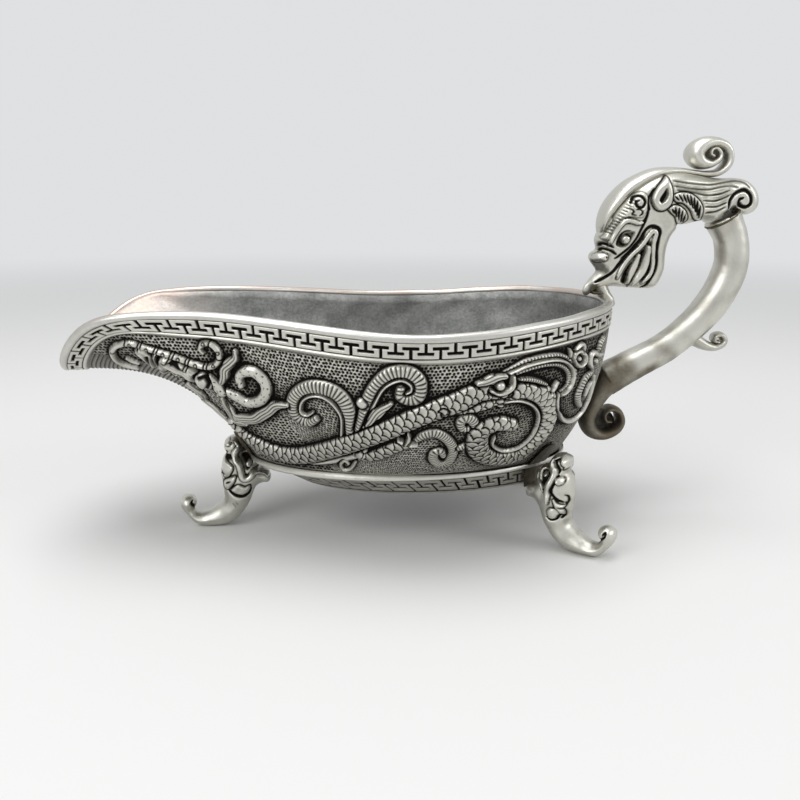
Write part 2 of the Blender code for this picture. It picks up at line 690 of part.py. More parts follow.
def make_rim_braze():
    """The solder between the fangs and the rim."""
    x, y, z = fang_foot()
    high = z - clearance
    low = high - braze_thickness
    pad = box("rim_braze", (x - 0.9 * MM, -2.3 * MM, low), (x + 0.9 * MM, 2.3 * MM, high))
    round_off = pad.modifiers.new("round_off", 'BEVEL')
    round_off.width = 0.2 * MM
    round_off.segments = 2
    finish(pad, braze_finish())


def main():
    clear_scene()
    make_bowl()
    make_legs()
    make_stem()
    make_spur()
    make_neck_braze()
    make_crest()
    make_head()
    make_rim_braze()


main()
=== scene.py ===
# %% [markdown]
# # A dragon wine cup, dressed
# This small metal cup has a spouted oval bowl, three cast legs and a handle that ends in a dragon's
# head. Its plain solids are loaded first. They could be carved directly, but they hold the sizes,
# so finer pieces are laid over them in the same place.

# %% Frame
import math

import bmesh
import bpy
import numpy as np
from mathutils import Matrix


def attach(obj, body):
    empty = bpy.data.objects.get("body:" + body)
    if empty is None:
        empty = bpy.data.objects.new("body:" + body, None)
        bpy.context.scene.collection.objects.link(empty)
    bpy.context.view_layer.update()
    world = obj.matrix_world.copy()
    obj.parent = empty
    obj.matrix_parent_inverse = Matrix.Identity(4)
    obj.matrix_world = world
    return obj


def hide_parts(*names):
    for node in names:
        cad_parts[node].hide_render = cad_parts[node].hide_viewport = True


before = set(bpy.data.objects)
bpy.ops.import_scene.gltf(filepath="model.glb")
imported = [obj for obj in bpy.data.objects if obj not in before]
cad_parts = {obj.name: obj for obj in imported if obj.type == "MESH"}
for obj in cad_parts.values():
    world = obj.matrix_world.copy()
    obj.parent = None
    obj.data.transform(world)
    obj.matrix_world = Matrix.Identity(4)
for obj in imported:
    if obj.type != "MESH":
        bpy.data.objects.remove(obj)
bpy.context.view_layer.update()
MM = 0.001
print("nodes:", ", ".join(sorted(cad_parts)))

# %% [markdown]
# ## Camera
# A photograph can be copied by eye or with a solved camera. Its perspective gave this camera's
# height, tilt and lens, so each pixel is also a ray into the scene. The carving is drawn along such
# rays. Lengths are millimetres until a mesh is made.

# %% Camera
image_side = 800
focal_pixels = 800.0
camera_place = np.array([-17.78, -172.16, 73.11])
camera_pitch = math.radians(14.57)
camera_yaw = math.radians(5.0)
sensor_width = 36.0

camera_data = bpy.data.cameras.new("camera")
camera_data.sensor_width = sensor_width
camera_data.lens = focal_pixels / image_side * sensor_width
camera_data.clip_start = 0.01
camera = bpy.data.objects.new("camera", camera_data)
camera.location = camera_place * MM
camera.rotation_euler = (math.pi / 2 - camera_pitch, 0.0, -camera_yaw)
bpy.context.collection.objects.link(camera)
bpy.context.scene.camera = camera

view_right = np.array([math.cos(camera_yaw), -math.sin(camera_yaw), 0.0])
view_forward = np.array([math.sin(camera_yaw) * math.cos(camera_pitch),
                         math.cos(camera_yaw) * math.cos(camera_pitch), -math.sin(camera_pitch)])
view_up = np.cross(view_right, view_forward)
print("camera at", tuple(camera_place))

# %% [markdown]
# ## Short ways to wire a material
# Every metal here is a small graph of nodes. It could be wired by hand in the editor. A few helpers
# keep the recipes short enough to read.

# %% Node helpers
def add_node(tree, kind, **settings):
    """A node with its settings. A setting that names a socket is set on that socket."""
    node = tree.nodes.new(kind)
    for key, value in settings.items():
        if hasattr(node, key):
            setattr(node, key, value)
        else:
            node.inputs[key.replace("_", " ")].default_value = value
    return node


def ramp(tree, factor, stops):
    node = tree.nodes.new("ShaderNodeValToRGB")
    while len(node.color_ramp.elements) < len(stops):
        node.color_ramp.elements.new(0.5)
    for element, (place, colour) in zip(node.color_ramp.elements, stops):
        element.position = place
        element.color = (*colour, 1.0)
    tree.links.new(factor, node.inputs["Fac"])
    return node.outputs["Color"]


def math_node(tree, operation, first, second):
    node = tree.nodes.new("ShaderNodeMath")
    node.operation = operation
    for socket, value in zip(node.inputs, (first, second)):
        if isinstance(value, (int, float)):
            socket.default_value = value
        else:
            tree.links.new(value, socket)
    return node.outputs["Value"]


def mix_colours(tree, factor, first, second):
    node = tree.nodes.new("ShaderNodeMix")
    node.data_type = 'RGBA'
    sockets = (node.inputs["Factor"], node.inputs[6], node.inputs[7])
    for socket, value in zip(sockets, (factor, first, second)):
        if isinstance(value, tuple):
            socket.default_value = (*value, 1.0)
        else:
            tree.links.new(value, socket)
    return node.outputs[2]


print("node helpers ready")

# %% [markdown]
# ## Floor
# A pale floor throws soft light into the undersides of the metal. A plane would show its edge, so a
# wide disc fades into the backdrop with distance. The fade counts only for rays that are seen or
# mirrored, so the bounced light stays true.

# %% Floor and light
floor_radius = 2500.0
floor_colour = (0.80, 0.80, 0.79, 1.0)
backdrop = (0.74, 0.75, 0.76)
fade_start = 140.0
fade_end = 900.0


def link_object(name, data):
    result = bpy.data.objects.new(name, data)
    bpy.context.collection.objects.link(result)
    return result


def seen_directly(tree):
    """1 where the eye, or a mirror or glass that the eye looks at, meets a surface."""
    light = add_node(tree, "ShaderNodeLightPath").outputs
    mirrored = math_node(tree, 'MAXIMUM', light["Is Glossy Ray"], light["Is Transmission Ray"])
    return math_node(tree, 'MAXIMUM', light["Is Camera Ray"], mirrored)


def fade_floor(tree, shader):
    """Let the far floor turn into the backdrop where it is seen or mirrored."""
    place = add_node(tree, "ShaderNodeTexCoord").outputs["Object"]
    spread = add_node(tree, "ShaderNodeVectorMath", operation='LENGTH')
    tree.links.new(place, spread.inputs[0])
    far = add_node(tree, "ShaderNodeMapRange", interpolation_type='SMOOTHSTEP')
    far.inputs["From Min"].default_value = fade_start * MM
    far.inputs["From Max"].default_value = fade_end * MM
    tree.links.new(spread.outputs["Value"], far.inputs["Value"])
    share = math_node(tree, 'MULTIPLY', far.outputs["Result"], seen_directly(tree))
    glow = add_node(tree, "ShaderNodeEmission", Color=(*backdrop, 1.0))
    mix = add_node(tree, "ShaderNodeMixShader")
    tree.links.new(share, mix.inputs["Fac"])
    tree.links.new(shader.outputs["BSDF"], mix.inputs[1])
    tree.links.new(glow.outputs["Emission"], mix.inputs[2])
    tree.links.new(mix.outputs["Shader"], tree.nodes["Material Output"].inputs["Surface"])


print("floor fades from", fade_start, "to", fade_end, "mm")

# %% Floor disc
def make_floor():
    """A wide pale floor, seen from above a plain disc."""
    plan = bmesh.new()
    bmesh.ops.create_circle(plan, cap_ends=True, segments=96, radius=floor_radius * MM)
    data = bpy.data.meshes.new("floor")
    plan.to_mesh(data)
    plan.free()
    surface = bpy.data.materials.new("pale_floor")
    surface.use_nodes = True
    shader = surface.node_tree.nodes["Principled BSDF"]
    shader.inputs["Base Color"].default_value = floor_colour
    shader.inputs["Roughness"].default_value = 0.75
    fade_floor(surface.node_tree, shader)
    data.materials.append(surface)
    link_object("floor", data)


make_floor()
print("floor disc of radius", floor_radius, "mm")

# %% [markdown]
# ## Lamps and room
# Polished metal shows the room more than itself. A picture of a real room could light it. Three
# large soft lamps in a grey room are chosen, because they give broad, calm highlights like those on
# the lip and the stem.

# %% Lamps and room
def make_lamp(name, place, target, size, power):
    """A square soft box that faces a target."""
    data = bpy.data.lights.new(name, 'AREA')
    data.size = size * MM
    data.energy = power
    lamp = link_object(name, data)
    lamp.location = np.array(place) * MM
    aim = np.array(target) - np.array(place)
    aim = aim / np.linalg.norm(aim)
    lamp.rotation_euler = (math.acos(-aim[2]), 0.0, math.atan2(aim[1], aim[0]) - math.pi / 2)


room_colour = (0.40, 0.405, 0.41)


def make_world():
    """A pale room."""
    world = bpy.data.worlds.new("room")
    world.use_nodes = True
    shader = world.node_tree.nodes["Background"]
    tone = mix_colours(world.node_tree, seen_directly(world.node_tree), room_colour, backdrop)
    world.node_tree.links.new(tone, shader.inputs["Color"])
    shader.inputs["Strength"].default_value = 1.0
    bpy.context.scene.world = world


make_world()
make_lamp("overhead", (-60, -40, 620), (0, 0, 30), 420, 2.2)
make_lamp("window", (-420, -420, 420), (0, 0, 40), 380, 1.4)
make_lamp("fill", (520, -260, 320), (0, 0, 40), 320, 0.9)
bpy.context.scene.view_settings.view_transform = 'Standard'
print(len(bpy.data.lights), "lamps in a pale room")

# %% [markdown]
# ## One recipe for the metals
# The cup is plated, darkened with a stain, then rubbed bright where a cloth can reach. A painted
# picture could carry that. Here each point holds a patina value, 0 on worn tops and 1 in the
# recesses, that picks a tone, and noise adds stains and scratches. So the wear follows the carving
# by itself.

# %% Metals
def make_metal(name, bright, middle, dark, stain, roughness, grain, tint=None):
    """A metal of three tones, with stains, fine scratches, and a tint where the point value says so."""
    material = bpy.data.materials.new(name)
    material.use_nodes = True
    tree = material.node_tree
    shader = tree.nodes["Principled BSDF"]
    shader.inputs["Metallic"].default_value = 1.0
    place = tree.nodes.new("ShaderNodeTexCoord").outputs["Object"]
    # This value is patina, and in places painted shade: on the walls, the foot band and the coil webs.
    patina_and_shade = add_node(tree, "ShaderNodeAttribute", attribute_name="patina_and_shade").outputs["Fac"]
    cloud = add_node(tree, "ShaderNodeTexNoise", Scale=180.0, Detail=5.0, Roughness=0.6)
    speck = add_node(tree, "ShaderNodeTexNoise", Scale=1500.0, Detail=4.0, Roughness=0.65)
    for node in (cloud, speck):
        tree.links.new(place, node.inputs["Vector"])
    worn = math_node(tree, 'MULTIPLY', math_node(tree, 'SUBTRACT', cloud.outputs["Fac"], 0.5), stain)
    fleck = math_node(tree, 'MULTIPLY', math_node(tree, 'SUBTRACT', speck.outputs["Fac"], 0.5), stain * 0.7)
    depth = math_node(tree, 'ADD', math_node(tree, 'ADD', patina_and_shade, worn), fleck)
    colour = ramp(tree, depth, ((0.0, bright), (0.38, middle), (0.85, dark)))
    if tint is not None:
        share = add_node(tree, "ShaderNodeAttribute", attribute_name="tint").outputs["Fac"]
        patchy = math_node(tree, 'MULTIPLY', share, ramp(tree, cloud.outputs["Fac"], (
            (0.35, (0.25, 0.25, 0.25)), (0.62, (1.0, 1.0, 1.0)))))
        colour = mix_colours(tree, patchy, colour, tint)
    tree.links.new(colour, shader.inputs["Base Color"])
    rough = ramp(tree, depth, ((0.0, (roughness,) * 3), (0.9, (min(roughness + 0.35, 0.9),) * 3)))
    tree.links.new(rough, shader.inputs["Roughness"])
    bump = add_node(tree, "ShaderNodeBump", Strength=grain, Distance=0.0002)
    tree.links.new(speck.outputs["Fac"], bump.inputs["Height"])
    tree.links.new(bump.outputs["Normal"], shader.inputs["Normal"])
    return material


print("one recipe for every metal")

# %% [markdown]
# ## Five finishes
# The carved wall is darkest, the lip shines with copper showing through, the inside is dull, the
# castings are polished and the solder is brown. One material could do for all, but five sets of
# tones keep each finish easy to change.

# %% The five metals
relief_metal = make_metal("relief_plate", (0.60, 0.59, 0.54), (0.25, 0.24, 0.21), (0.012, 0.011, 0.010),
                          0.24, 0.36, 0.25)
lip_metal = make_metal("polished_lip", (0.66, 0.65, 0.61), (0.42, 0.41, 0.38), (0.03, 0.03, 0.03),
                       0.30, 0.33, 0.15, (0.60, 0.40, 0.32))
inside_metal = make_metal("dull_inside", (0.39, 0.39, 0.375), (0.20, 0.205, 0.197), (0.05, 0.05, 0.05),
                          0.80, 0.45, 0.35, (0.62, 0.50, 0.44))
cast_metal = make_metal("cast_silver", (0.62, 0.61, 0.555), (0.36, 0.35, 0.30), (0.014, 0.013, 0.011),
                        0.30, 0.36, 0.22, (0.15, 0.125, 0.09))
braze_metal = make_metal("solder", (0.105, 0.09, 0.062), (0.06, 0.052, 0.037), (0.02, 0.018, 0.013),
                         0.8, 0.46, 0.8)
print(", ".join(m.name for m in (relief_metal, lip_metal, inside_metal, cast_metal, braze_metal)))

# %% [markdown]
# ## Sizes of the bowl
# The bowl is an oval with one end drawn out into an open spout, on a smaller oval foot. It could be
# modelled by pulling points. Named sizes are used, the same as in the solid, so that both agree to
# a fraction of a millimetre.

# %% Bowl surface
bowl_back = 42.5
bowl_half_width = 33.7
spout_reach = 74.2
spout_half_width = 20.4
spout_round = 19.3
rim_waist_height = 48.7
rim_back_height = 51.2
rim_crown_height = 51.6
rim_crown_reach = 45.2
spout_tip_height = 37.9
spout_droop = 3.9
bead_height = 17.5
bead_centre = -1.0
bead_half_length = 34.5
bead_half_width = 20.2
base_height = 12.5
base_centre = 3.0
base_half_length = 29.0
base_half_width = 16.6
belly_fullness = 2.3
keel_hollow = 3.1
keel_start = math.radians(98.0)
wall = 2.0
lip_radius = 0.95
floor_thickness = 2.2
print("bowl", bowl_back + spout_reach, "mm long,", 2 * bowl_half_width, "mm wide")

# %% [markdown]
# ## Rim
# The rim sinks at the waist, rises to a crown on each side of the spout and drops to the tip. A
# drawn curve would do, but half width and height as formulas of the length give a smooth edge at
# any fineness.

# %% Rim
def ease(s):
    s = np.clip(s, 0.0, 1.0)
    return s * s * (3 - 2 * s)


def rim_half_width(x):
    neck = spout_reach - spout_round
    taper = 0.5 + 0.5 * np.cos(math.pi * np.clip(-x / neck, 0, 1))
    width = spout_half_width + (bowl_half_width - spout_half_width) * taper
    past = np.clip((-x - neck) / spout_round, 0, 1)
    return width * np.sqrt(1 - past ** 2)


def rim_height(x):
    back = rim_waist_height + (rim_back_height - rim_waist_height) * (
        0.5 - 0.5 * np.cos(math.pi * np.clip(x / bowl_back, 0, 1)))
    front = rim_waist_height + (rim_crown_height - rim_waist_height) * (
        0.5 - 0.5 * np.cos(math.pi * np.clip(-x / rim_crown_reach, 0, 1)))
    past = np.clip((-x - rim_crown_reach) / (spout_reach - rim_crown_reach), 0, 1)
    return np.where(x > 0, back, front - (rim_crown_height - spout_tip_height) * past ** spout_droop)


print("rim", rim_height(np.array([0.0, bowl_back])), "mm high at the waist and the back")

# %% [markdown]
# ## Outer wall
# The wall bulges at the back and turns into a hollow keel under the spout. A subdivided cage could
# be bent to it. One formula of a turn and a rise was chosen, because carving needs the exact place
# and direction of the surface everywhere.

# %% Outer wall
def keel_share(turn):
    from_back = np.abs((turn + math.pi) % (2 * math.pi) - math.pi)
    return ease((from_back - keel_start) / (math.pi - keel_start))


def rim_points(turn):
    forward = np.cos(turn)
    x = np.where(forward > 0, bowl_back * forward, spout_reach * forward)
    y = np.where(forward > 0, bowl_half_width * np.sin(turn), np.sign(np.sin(turn)) * rim_half_width(x))
    overhang = lip_radius - wall / 2 * (1 - keel_share(turn))
    inset = 1 - overhang / np.hypot(x, y)
    return np.stack([x * inset, y * inset, rim_height(x) - lip_radius], axis=-1)


def oval(turn, centre, half_length, half_width, height):
    return np.stack([centre + half_length * np.cos(turn), half_width * np.sin(turn),
                     np.full_like(turn, height)], axis=-1)


def outer_point(turn, rise):
    """A point of the bowl's outside. The turn is 0 at the back and half a turn at the spout."""
    low = oval(turn, bead_centre, bead_half_length, bead_half_width, bead_height)
    keel = keel_share(turn)
    outwards = (1 - keel) * (1 - (1 - rise) ** belly_fullness) + keel * rise
    upwards = (1 - keel) * rise + keel * (1 - (1 - rise) ** keel_hollow)
    return low + (rim_points(turn) - low) * np.stack([outwards, outwards, upwards], axis=-1)


def unit(vectors):
    return vectors / np.maximum(np.linalg.norm(vectors, axis=-1, keepdims=True), 1e-12)


def outer_normal(turn, rise):
    step = 1e-4
    along = outer_point(turn + step, rise) - outer_point(turn - step, rise)
    up = outer_point(turn, np.minimum(rise + step, 1)) - outer_point(turn, np.maximum(rise - step, 0))
    return unit(np.cross(along, up))


print("wall starts at", outer_point(np.zeros(1), np.zeros(1))[0], "at the back of the bead")

# %% [markdown]
# ## Columns and rows
# Relief needs many small faces of equal size. A displaced grid could be used, but it would crowd
# them at the spout. Here the columns stand evenly along the rim, the rows know how far they lie
# below the lip, and each point of the mesh can carry its patina. A soft average later tells which
# spots a cloth would rub.

# %% Columns and rows
cell = 0.15
band_top = 0.42
band_low = 3.60


def arc_of(points):
    """Distance along a row of points."""
    steps = np.linalg.norm(np.diff(points, axis=0), axis=1)
    return np.concatenate([[0.0], np.cumsum(steps)])


def even_turns(start, stop, spacing):
    """Turns that stand evenly along the rim, and their distance along it from the back."""
    fine = np.linspace(0.0, math.pi, 4001)
    arc = arc_of(outer_point(fine, np.full_like(fine, 0.8)))
    first, last = np.interp([start, stop], fine, arc)
    places = np.linspace(first, last, int(round((last - first) / spacing)) + 1)
    return np.interp(places, arc, fine), places


def rises_below_lip(turn, drops):
    """The rise of points at these distances below the lip.

    A drop below 0 is a share of the way from the fret band to the bead.
    """
    fine = 1 - np.linspace(0.0, 1.0, 321) ** 1.4
    profile = outer_point(turn[None, :], np.repeat(fine[:, None], len(turn), axis=1))
    steps = np.linalg.norm(np.diff(profile, axis=0), axis=2)
    arc = np.vstack([np.zeros(len(turn)), np.cumsum(steps, axis=0)])
    rises = np.empty((drops.shape[0], len(turn)))
    depth = np.empty_like(rises)
    for i in range(len(turn)):
        depth[:, i] = drops[:, i] if drops.shape[1] > 1 else drops[:, 0]
        shared = band_low - (1 + depth[:, i]) * (band_low - arc[-1, i])
        depth[:, i] = np.where(depth[:, i] < 0, shared, depth[:, i])
        rises[:, i] = np.interp(depth[:, i], arc[:, i], fine)
    return rises, depth


print(len(even_turns(0.0, math.pi, cell)[0]), "columns along half the rim")

# %% Grids to meshes
def mesh_grid(name, points, closed=False, flip=False, start_cap=False, end_cap=False):
    """A mesh from rows and columns of points, in millimetres.

    A cap closes a first or last ring with a fan.
    """
    rows, cols = points.shape[:2]
    index = np.arange(rows * cols).reshape(rows, cols)
    if closed:
        index = np.concatenate([index, index[:, :1]], axis=1)
    quads = np.stack([index[:-1, :-1], index[:-1, 1:], index[1:, 1:], index[1:, :-1]], axis=-1).reshape(-1, 4)
    points = points.reshape(-1, 3)
    for row, wanted, order in ((0, start_cap, slice(None, None, -1)), (-1, end_cap, slice(None))):
        if wanted:
            ring = index[row]
            around = np.stack([ring[:-2:2], ring[1:-1:2], ring[2::2]], axis=1)[:, order]
            middle = np.full((len(around), 1), len(points))
            quads = np.vstack([quads, np.hstack([around, middle])])
            points = np.vstack([points, points[ring[:-1]].mean(axis=0)])
    if flip:
        quads = quads[:, ::-1]
    return mesh_of(name, points, quads)


def mesh_of(name, points, quads):
    data = bpy.data.meshes.new(name)
    data.vertices.add(len(points))
    data.vertices.foreach_set("co", (points * MM).astype(np.float32).ravel())
    data.loops.add(quads.size)
    data.loops.foreach_set("vertex_index", quads.astype(np.int32).ravel())
    data.polygons.add(len(quads))
    data.polygons.foreach_set("loop_start", np.arange(0, quads.size, quads.shape[1], dtype=np.int32))
    data.update(calc_edges=True)
    data.validate()
    data.shade_smooth()
    return data


def set_value(data, name, values):
    layer = data.attributes.new(name, 'FLOAT', 'POINT')
    values = np.clip(values, 0.0, 1.0).astype(np.float32).ravel()
    layer.data.foreach_set("value", np.pad(values, (0, len(data.vertices) - len(values)), mode='edge'))


print("grids become meshes with point values")

# %% [markdown]
# ## Dressing a piece
# Each fine piece covers one solid of the cup. It could be left loose in the scene. Here it rides on
# the cup's one body and takes the place of its solid.

# %% Dressing a piece
def dress(name, data, material, node):
    """Put a mesh into the scene as a piece of the cup."""
    data.materials.clear()
    data.materials.append(material)
    piece = link_object(name, data)
    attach(piece, "root")
    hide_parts(node)
    return piece


print("pieces ride on the cup's one body")

# %% Soft averages
def blur(values, radius):
    """A soft average over a grid of values."""
    reach = int(3 * radius)
    kernel = np.exp(-0.5 * (np.arange(-reach, reach + 1) / radius) ** 2)
    kernel /= kernel.sum()
    for axis in (0, 1):
        pad = [(0, 0), (0, 0)]
        pad[axis] = (reach, reach)
        wide = np.pad(values, pad, mode='edge')
        count = values.shape[axis]
        values = sum(k * np.take(wide, range(i, i + count), axis=axis) for i, k in enumerate(kernel))
    return values


print("a spike of 1 softens to", round(float(blur(np.eye(9), 2.0)[4, 4]), 3))

# %% [markdown]
# ## Curls
# On the real cup the dragon is chased into the metal, one line at a time. The model draws it the
# same way: a stroke is a name, a kind, a width in pixels, a height in millimetres and a path.
# Sculpting would be freer, but a list of strokes can be read and corrected.

# %% Strokes of the curls
curl_strokes = (
    ("lower_strand", "smooth", 6.0, 0.55, ((307, 462), (330, 461), (356, 455.5), (366, 450))),
    ("strand_curl", "smooth", 3.2, 0.5, (
        (356, 461), (351, 468), (344, 469), (341, 464), (345, 460), (349, 463))),
    ("lower_limb", "scales", 13.0, 0.8, ((357, 452), (366, 456), (380, 453), (397, 446), (416, 440))),
    ("limb_curl", "ribs", 9.0, 0.8, (
        (414, 441), (424, 434.5), (436, 433), (447, 439), (453, 449), (449, 460), (440, 463.5),
        (433.5, 459), (434.5, 452), (440.5, 450.5), (443, 454.5))),
    ("disc_curl", "ribs", 9.0, 0.8, (
        (459, 447), (466, 444), (473, 437), (475.5, 428), (472, 420), (465, 418), (460.5, 422),
        (462, 428), (467, 428))),
    ("keel_beard", "hair", 17.0, 0.75, ((204, 398), (214, 405.5), (226, 416), (238, 426))),
    ("scroll_one", "ribs", 13.0, 1.05, (
        (351, 433), (350, 417), (346, 403), (337, 393), (325, 388), (311, 387), (300, 392), (294, 401),
        (295, 410), (300, 417), (309, 421), (316, 418))),
    ("scroll_one_wire", "smooth", 3.0, 0.8, (
        (342, 437), (342, 417), (335, 405), (326, 397.5), (316, 395), (307, 397), (302, 403),
        (302, 411), (308, 414), (314, 411))),
    ("scroll_two", "ribs", 13.0, 1.05, (
        (359.5, 428), (365, 414), (370, 398), (377, 386), (387, 376), (399, 372), (411, 374),
        (419, 383), (417.5, 396), (409, 399), (401, 396), (400.5, 389.5))),
    ("scroll_two_wire", "smooth", 3.0, 0.8, (
        (362, 432), (375, 403), (385, 387), (400, 380), (410, 384), (411, 390), (406, 393))),
    ("scroll_bead", "bead", 9.0, 0.9, ((361.5, 402.5), (362.5, 403.5))),
    ("leaf", "hair", 11.6, 0.8, ((368, 424), (374, 416), (382, 409), (391, 403))),
)
print(len(curl_strokes), "strokes")

# %% [markdown]
# ## Body
# The dragon's body winds along the wall as a thick scaled bar with a wire along its edge. A swept
# tube would stand too proud. A wide stroke with a scaled profile stays as flat as chased metal.

# %% Strokes of the body
body_strokes = (
    ("body_s", "scales", 20.0, 1.15, (
        (501, 400), (512, 394), (526, 390), (539, 393), (547, 402), (548, 414), (543.5, 429),
        (532, 443), (515, 455), (494, 457), (480, 451), (477, 438), (484, 428), (497, 423), (511, 424))),
    ("body_s_wire", "smooth", 3.2, 0.75, (
        (498, 402), (518, 400), (532, 405), (537.6, 416), (532, 433), (518, 446), (502, 449.5),
        (492, 444), (494, 435.5))),
    ("trunk_low", "scales", 11.0, 0.8, ((404, 428), (435, 415), (461, 408), (481, 405), (500, 399))),
    ("trunk", "scales", 19.5, 1.3, (
        (234, 421), (247, 434), (262, 444.5), (276, 451), (291, 454.5), (308, 454), (335, 447.5),
        (363, 438.5), (391, 428), (420, 415.5), (440, 408), (457, 402), (480, 392), (503, 391))),
)
print(len(body_strokes), "strokes")

# %% [markdown]
# ## Mane and flames
# Ribbed locks, rings and hooked flames fill the back of the wall. Each could be a mesh of its own.
# As strokes they overlap in the order of the list: a later one lies on an earlier one, as a chaser
# would cut it.

# %% Strokes of the mane and flames
mane_strokes = (
    ("mane", "ribs", 12.0, 0.95, (
        (503, 375), (512, 371), (524, 365.5), (536, 362), (549, 359.5), (560, 360), (568, 365),
        (571, 373), (569.3, 382), (564.5, 389.5), (558, 394))),
    ("mane_ridge", "ridge", 2.8, 1.2, (
        (503, 375), (512, 371), (524, 365.5), (536, 362), (549, 359.5), (560, 360), (568, 365),
        (571, 373), (569.3, 382), (564.5, 389.5), (558, 394))),
    ("mane_drop", "ridge", 4.0, 0.9, ((557, 392), (555.5, 400), (556, 410))),
    ("body_fin", "ribs", 4.2, 0.8, ((519, 378.6), (532, 379.4), (545, 383.4))),
    ("mane_fin", "ridge", 5.4, 1.2, ((549.5, 390), (552.5, 385.5), (555, 380))),
    ("clasp_collar", "smooth", 5.4, 1.3, (
        (512, 375.5), (511.5, 384), (506.5, 389.5), (498, 392), (489, 389))),
    ("clasp", "hair", 11.0, 1.3, ((477, 382.5), (484, 380.5), (494, 377.5), (504, 375))),
    ("clasp_bead", "bead", 8.6, 1.5, ((498.8, 384.6), (499.2, 384.6))),
    ("back_loop", "ridge", 4.4, 0.85, (
        (557, 410), (561.5, 418.5), (569.5, 420), (579, 412.5), (586, 400), (590.5, 385), (592, 374))),
    ("back_fan", "ribs", 7.4, 0.9, (
        (590, 371), (584.5, 377), (580.8, 384), (577.4, 392), (576.6, 399), (578, 404))),
    ("fan_edge", "ridge", 3.0, 0.8, ((590, 380), (587, 385), (584.4, 391), (582, 397))),
    ("flame_ring", "smooth", 4.0, 0.95, (
        (572, 358), (574, 353), (579, 351), (583.5, 355), (583.2, 361), (579, 365.5), (574.8, 363.5),
        (572.6, 359.5))),
    ("flame_heart", "bead", 4.0, 0.7, ((578.2, 358), (578.4, 358.6))),
    ("flame_hook", "ridge", 4.2, 0.9, (
        (573.5, 349.5), (577, 346.5), (580.5, 343.5), (582.4, 346.5), (581.8, 350.5))),
    ("flame_spike", "ridge", 3.8, 0.8, ((567.5, 348), (569.2, 352), (568.4, 357))),
    ("flame_loop", "ridge", 4.6, 0.95, (
        (590, 368.5), (588.4, 362), (589, 356), (592.5, 352), (597, 354.5), (600, 353))),
    ("flame_seed", "bead", 4.2, 0.8, ((594.4, 360), (594.6, 361))),
    ("flame_feather", "ribs", 6.0, 0.9, ((596.5, 349.5), (598.5, 343.5), (601.5, 337.5))),
)
print(len(mane_strokes), "strokes")

# %% [markdown]
# ## Claws, horn and beard
# Hooked claws and pointed locks of hair taper to both ends. A mesh for each would be slow to fit to
# the wall. As strokes they follow it without any fitting.

# %% Strokes of the claws and beard
beard_strokes = (
    ("claw_one", "ridge", 6.5, 1.5, ((398, 437), (407, 441), (417, 441.5))),
    ("claw_two", "ridge", 4.6, 1.4, ((405, 442), (409, 436), (408, 431))),
    ("trunk_curl", "line", 2.2, 0.35, (
        (437.5, 408), (443, 405.5), (448.5, 408.5), (447.3, 414), (442, 415.3), (440, 411))),
    ("beard_long", "hair", 11.0, 1.0, (
        (220, 393), (228, 405), (238, 415), (250, 418), (263, 414), (275, 405), (289, 403.5))),
    ("beard_short", "hair", 8.0, 0.9, ((223, 397), (231, 411), (238, 420), (248, 423))),
    ("horn_curl", "speckle", 10.5, 1.1, (
        (220, 390), (228, 391), (238, 396), (250, 402), (262, 399), (267, 390), (264, 380), (255, 372),
        (246, 371), (240, 376), (242, 384))),
    ("ear_flame", "hair", 9.0, 1.1, (
        (221, 384), (225, 375), (226, 367), (232, 361), (237, 357), (236, 350))),
)
print(len(beard_strokes), "strokes")

# %% [markdown]
# ## Face under the spout
# The beast's snout, jaw and ear are small curls on the keel. More could be made up, but they are
# soft in the photograph, so a few plain lines are drawn.

# %% Strokes of the face
face_strokes = (
    ("tongue_tip", "ridge", 8.0, 0.9, ((127, 355.5), (133, 359), (140, 361))),
    ("face_snout", "smooth", 20.0, 1.2, ((142, 351.5), (148, 356), (154, 362))),
    ("face_lobe", "smooth", 16.0, 1.35, ((158.5, 356), (161, 361), (165, 367.5))),
    ("face_cheek", "smooth", 28.0, 1.35, ((167, 361.5), (178, 367), (191, 374))),
    ("face_brow", "smooth", 8.0, 1.6, ((166, 357), (178, 362.5), (191, 368.5), (199, 373))),
    ("face_jaw", "hair", 24.0, 1.1, ((187, 380.5), (197, 387), (204, 394))),
    ("face_back", "speckle", 16.0, 1.2, ((211, 378), (217.5, 384.5), (223, 391))),
    ("face_ear", "bead", 17.0, 1.6, ((204.5, 379), (205.5, 381))),
    ("snout_split", "line", 3.4, 0.5, ((148, 354), (150.5, 360), (154, 366))),
    ("nose_line", "line", 3.4, 0.5, ((160, 354), (158.5, 360), (164.5, 366.5), (172.5, 370))),
    ("brow_line", "line", 3.4, 0.4, ((164.5, 360), (175, 360), (184, 365.5), (195.5, 373.5))),
    ("cheek_curl", "line", 3.4, 0.45, (
        (177, 373.5), (180.5, 370.7), (186, 371.6), (188.5, 377), (185, 380.4), (182, 378))),
    ("jaw_line", "line", 3.4, 0.5, ((179, 379), (188.5, 384), (198, 392), (203.5, 397.5))),
    ("mouth_line", "line", 3.4, 0.5, ((158.7, 369), (168, 373.5), (177, 379))),
    ("ear_line", "line", 3.4, 0.45, (
        (201, 375), (207, 375), (211, 381), (207, 387), (201, 386), (199, 380))),
)
print(len(face_strokes), "strokes")

# %% [markdown]
# ## Whisker
# A long whisker runs along the spout, with a row of small rings and pairs of bars across it. The
# rings and bars could be typed as strokes. A list of spots and a rule is shorter.

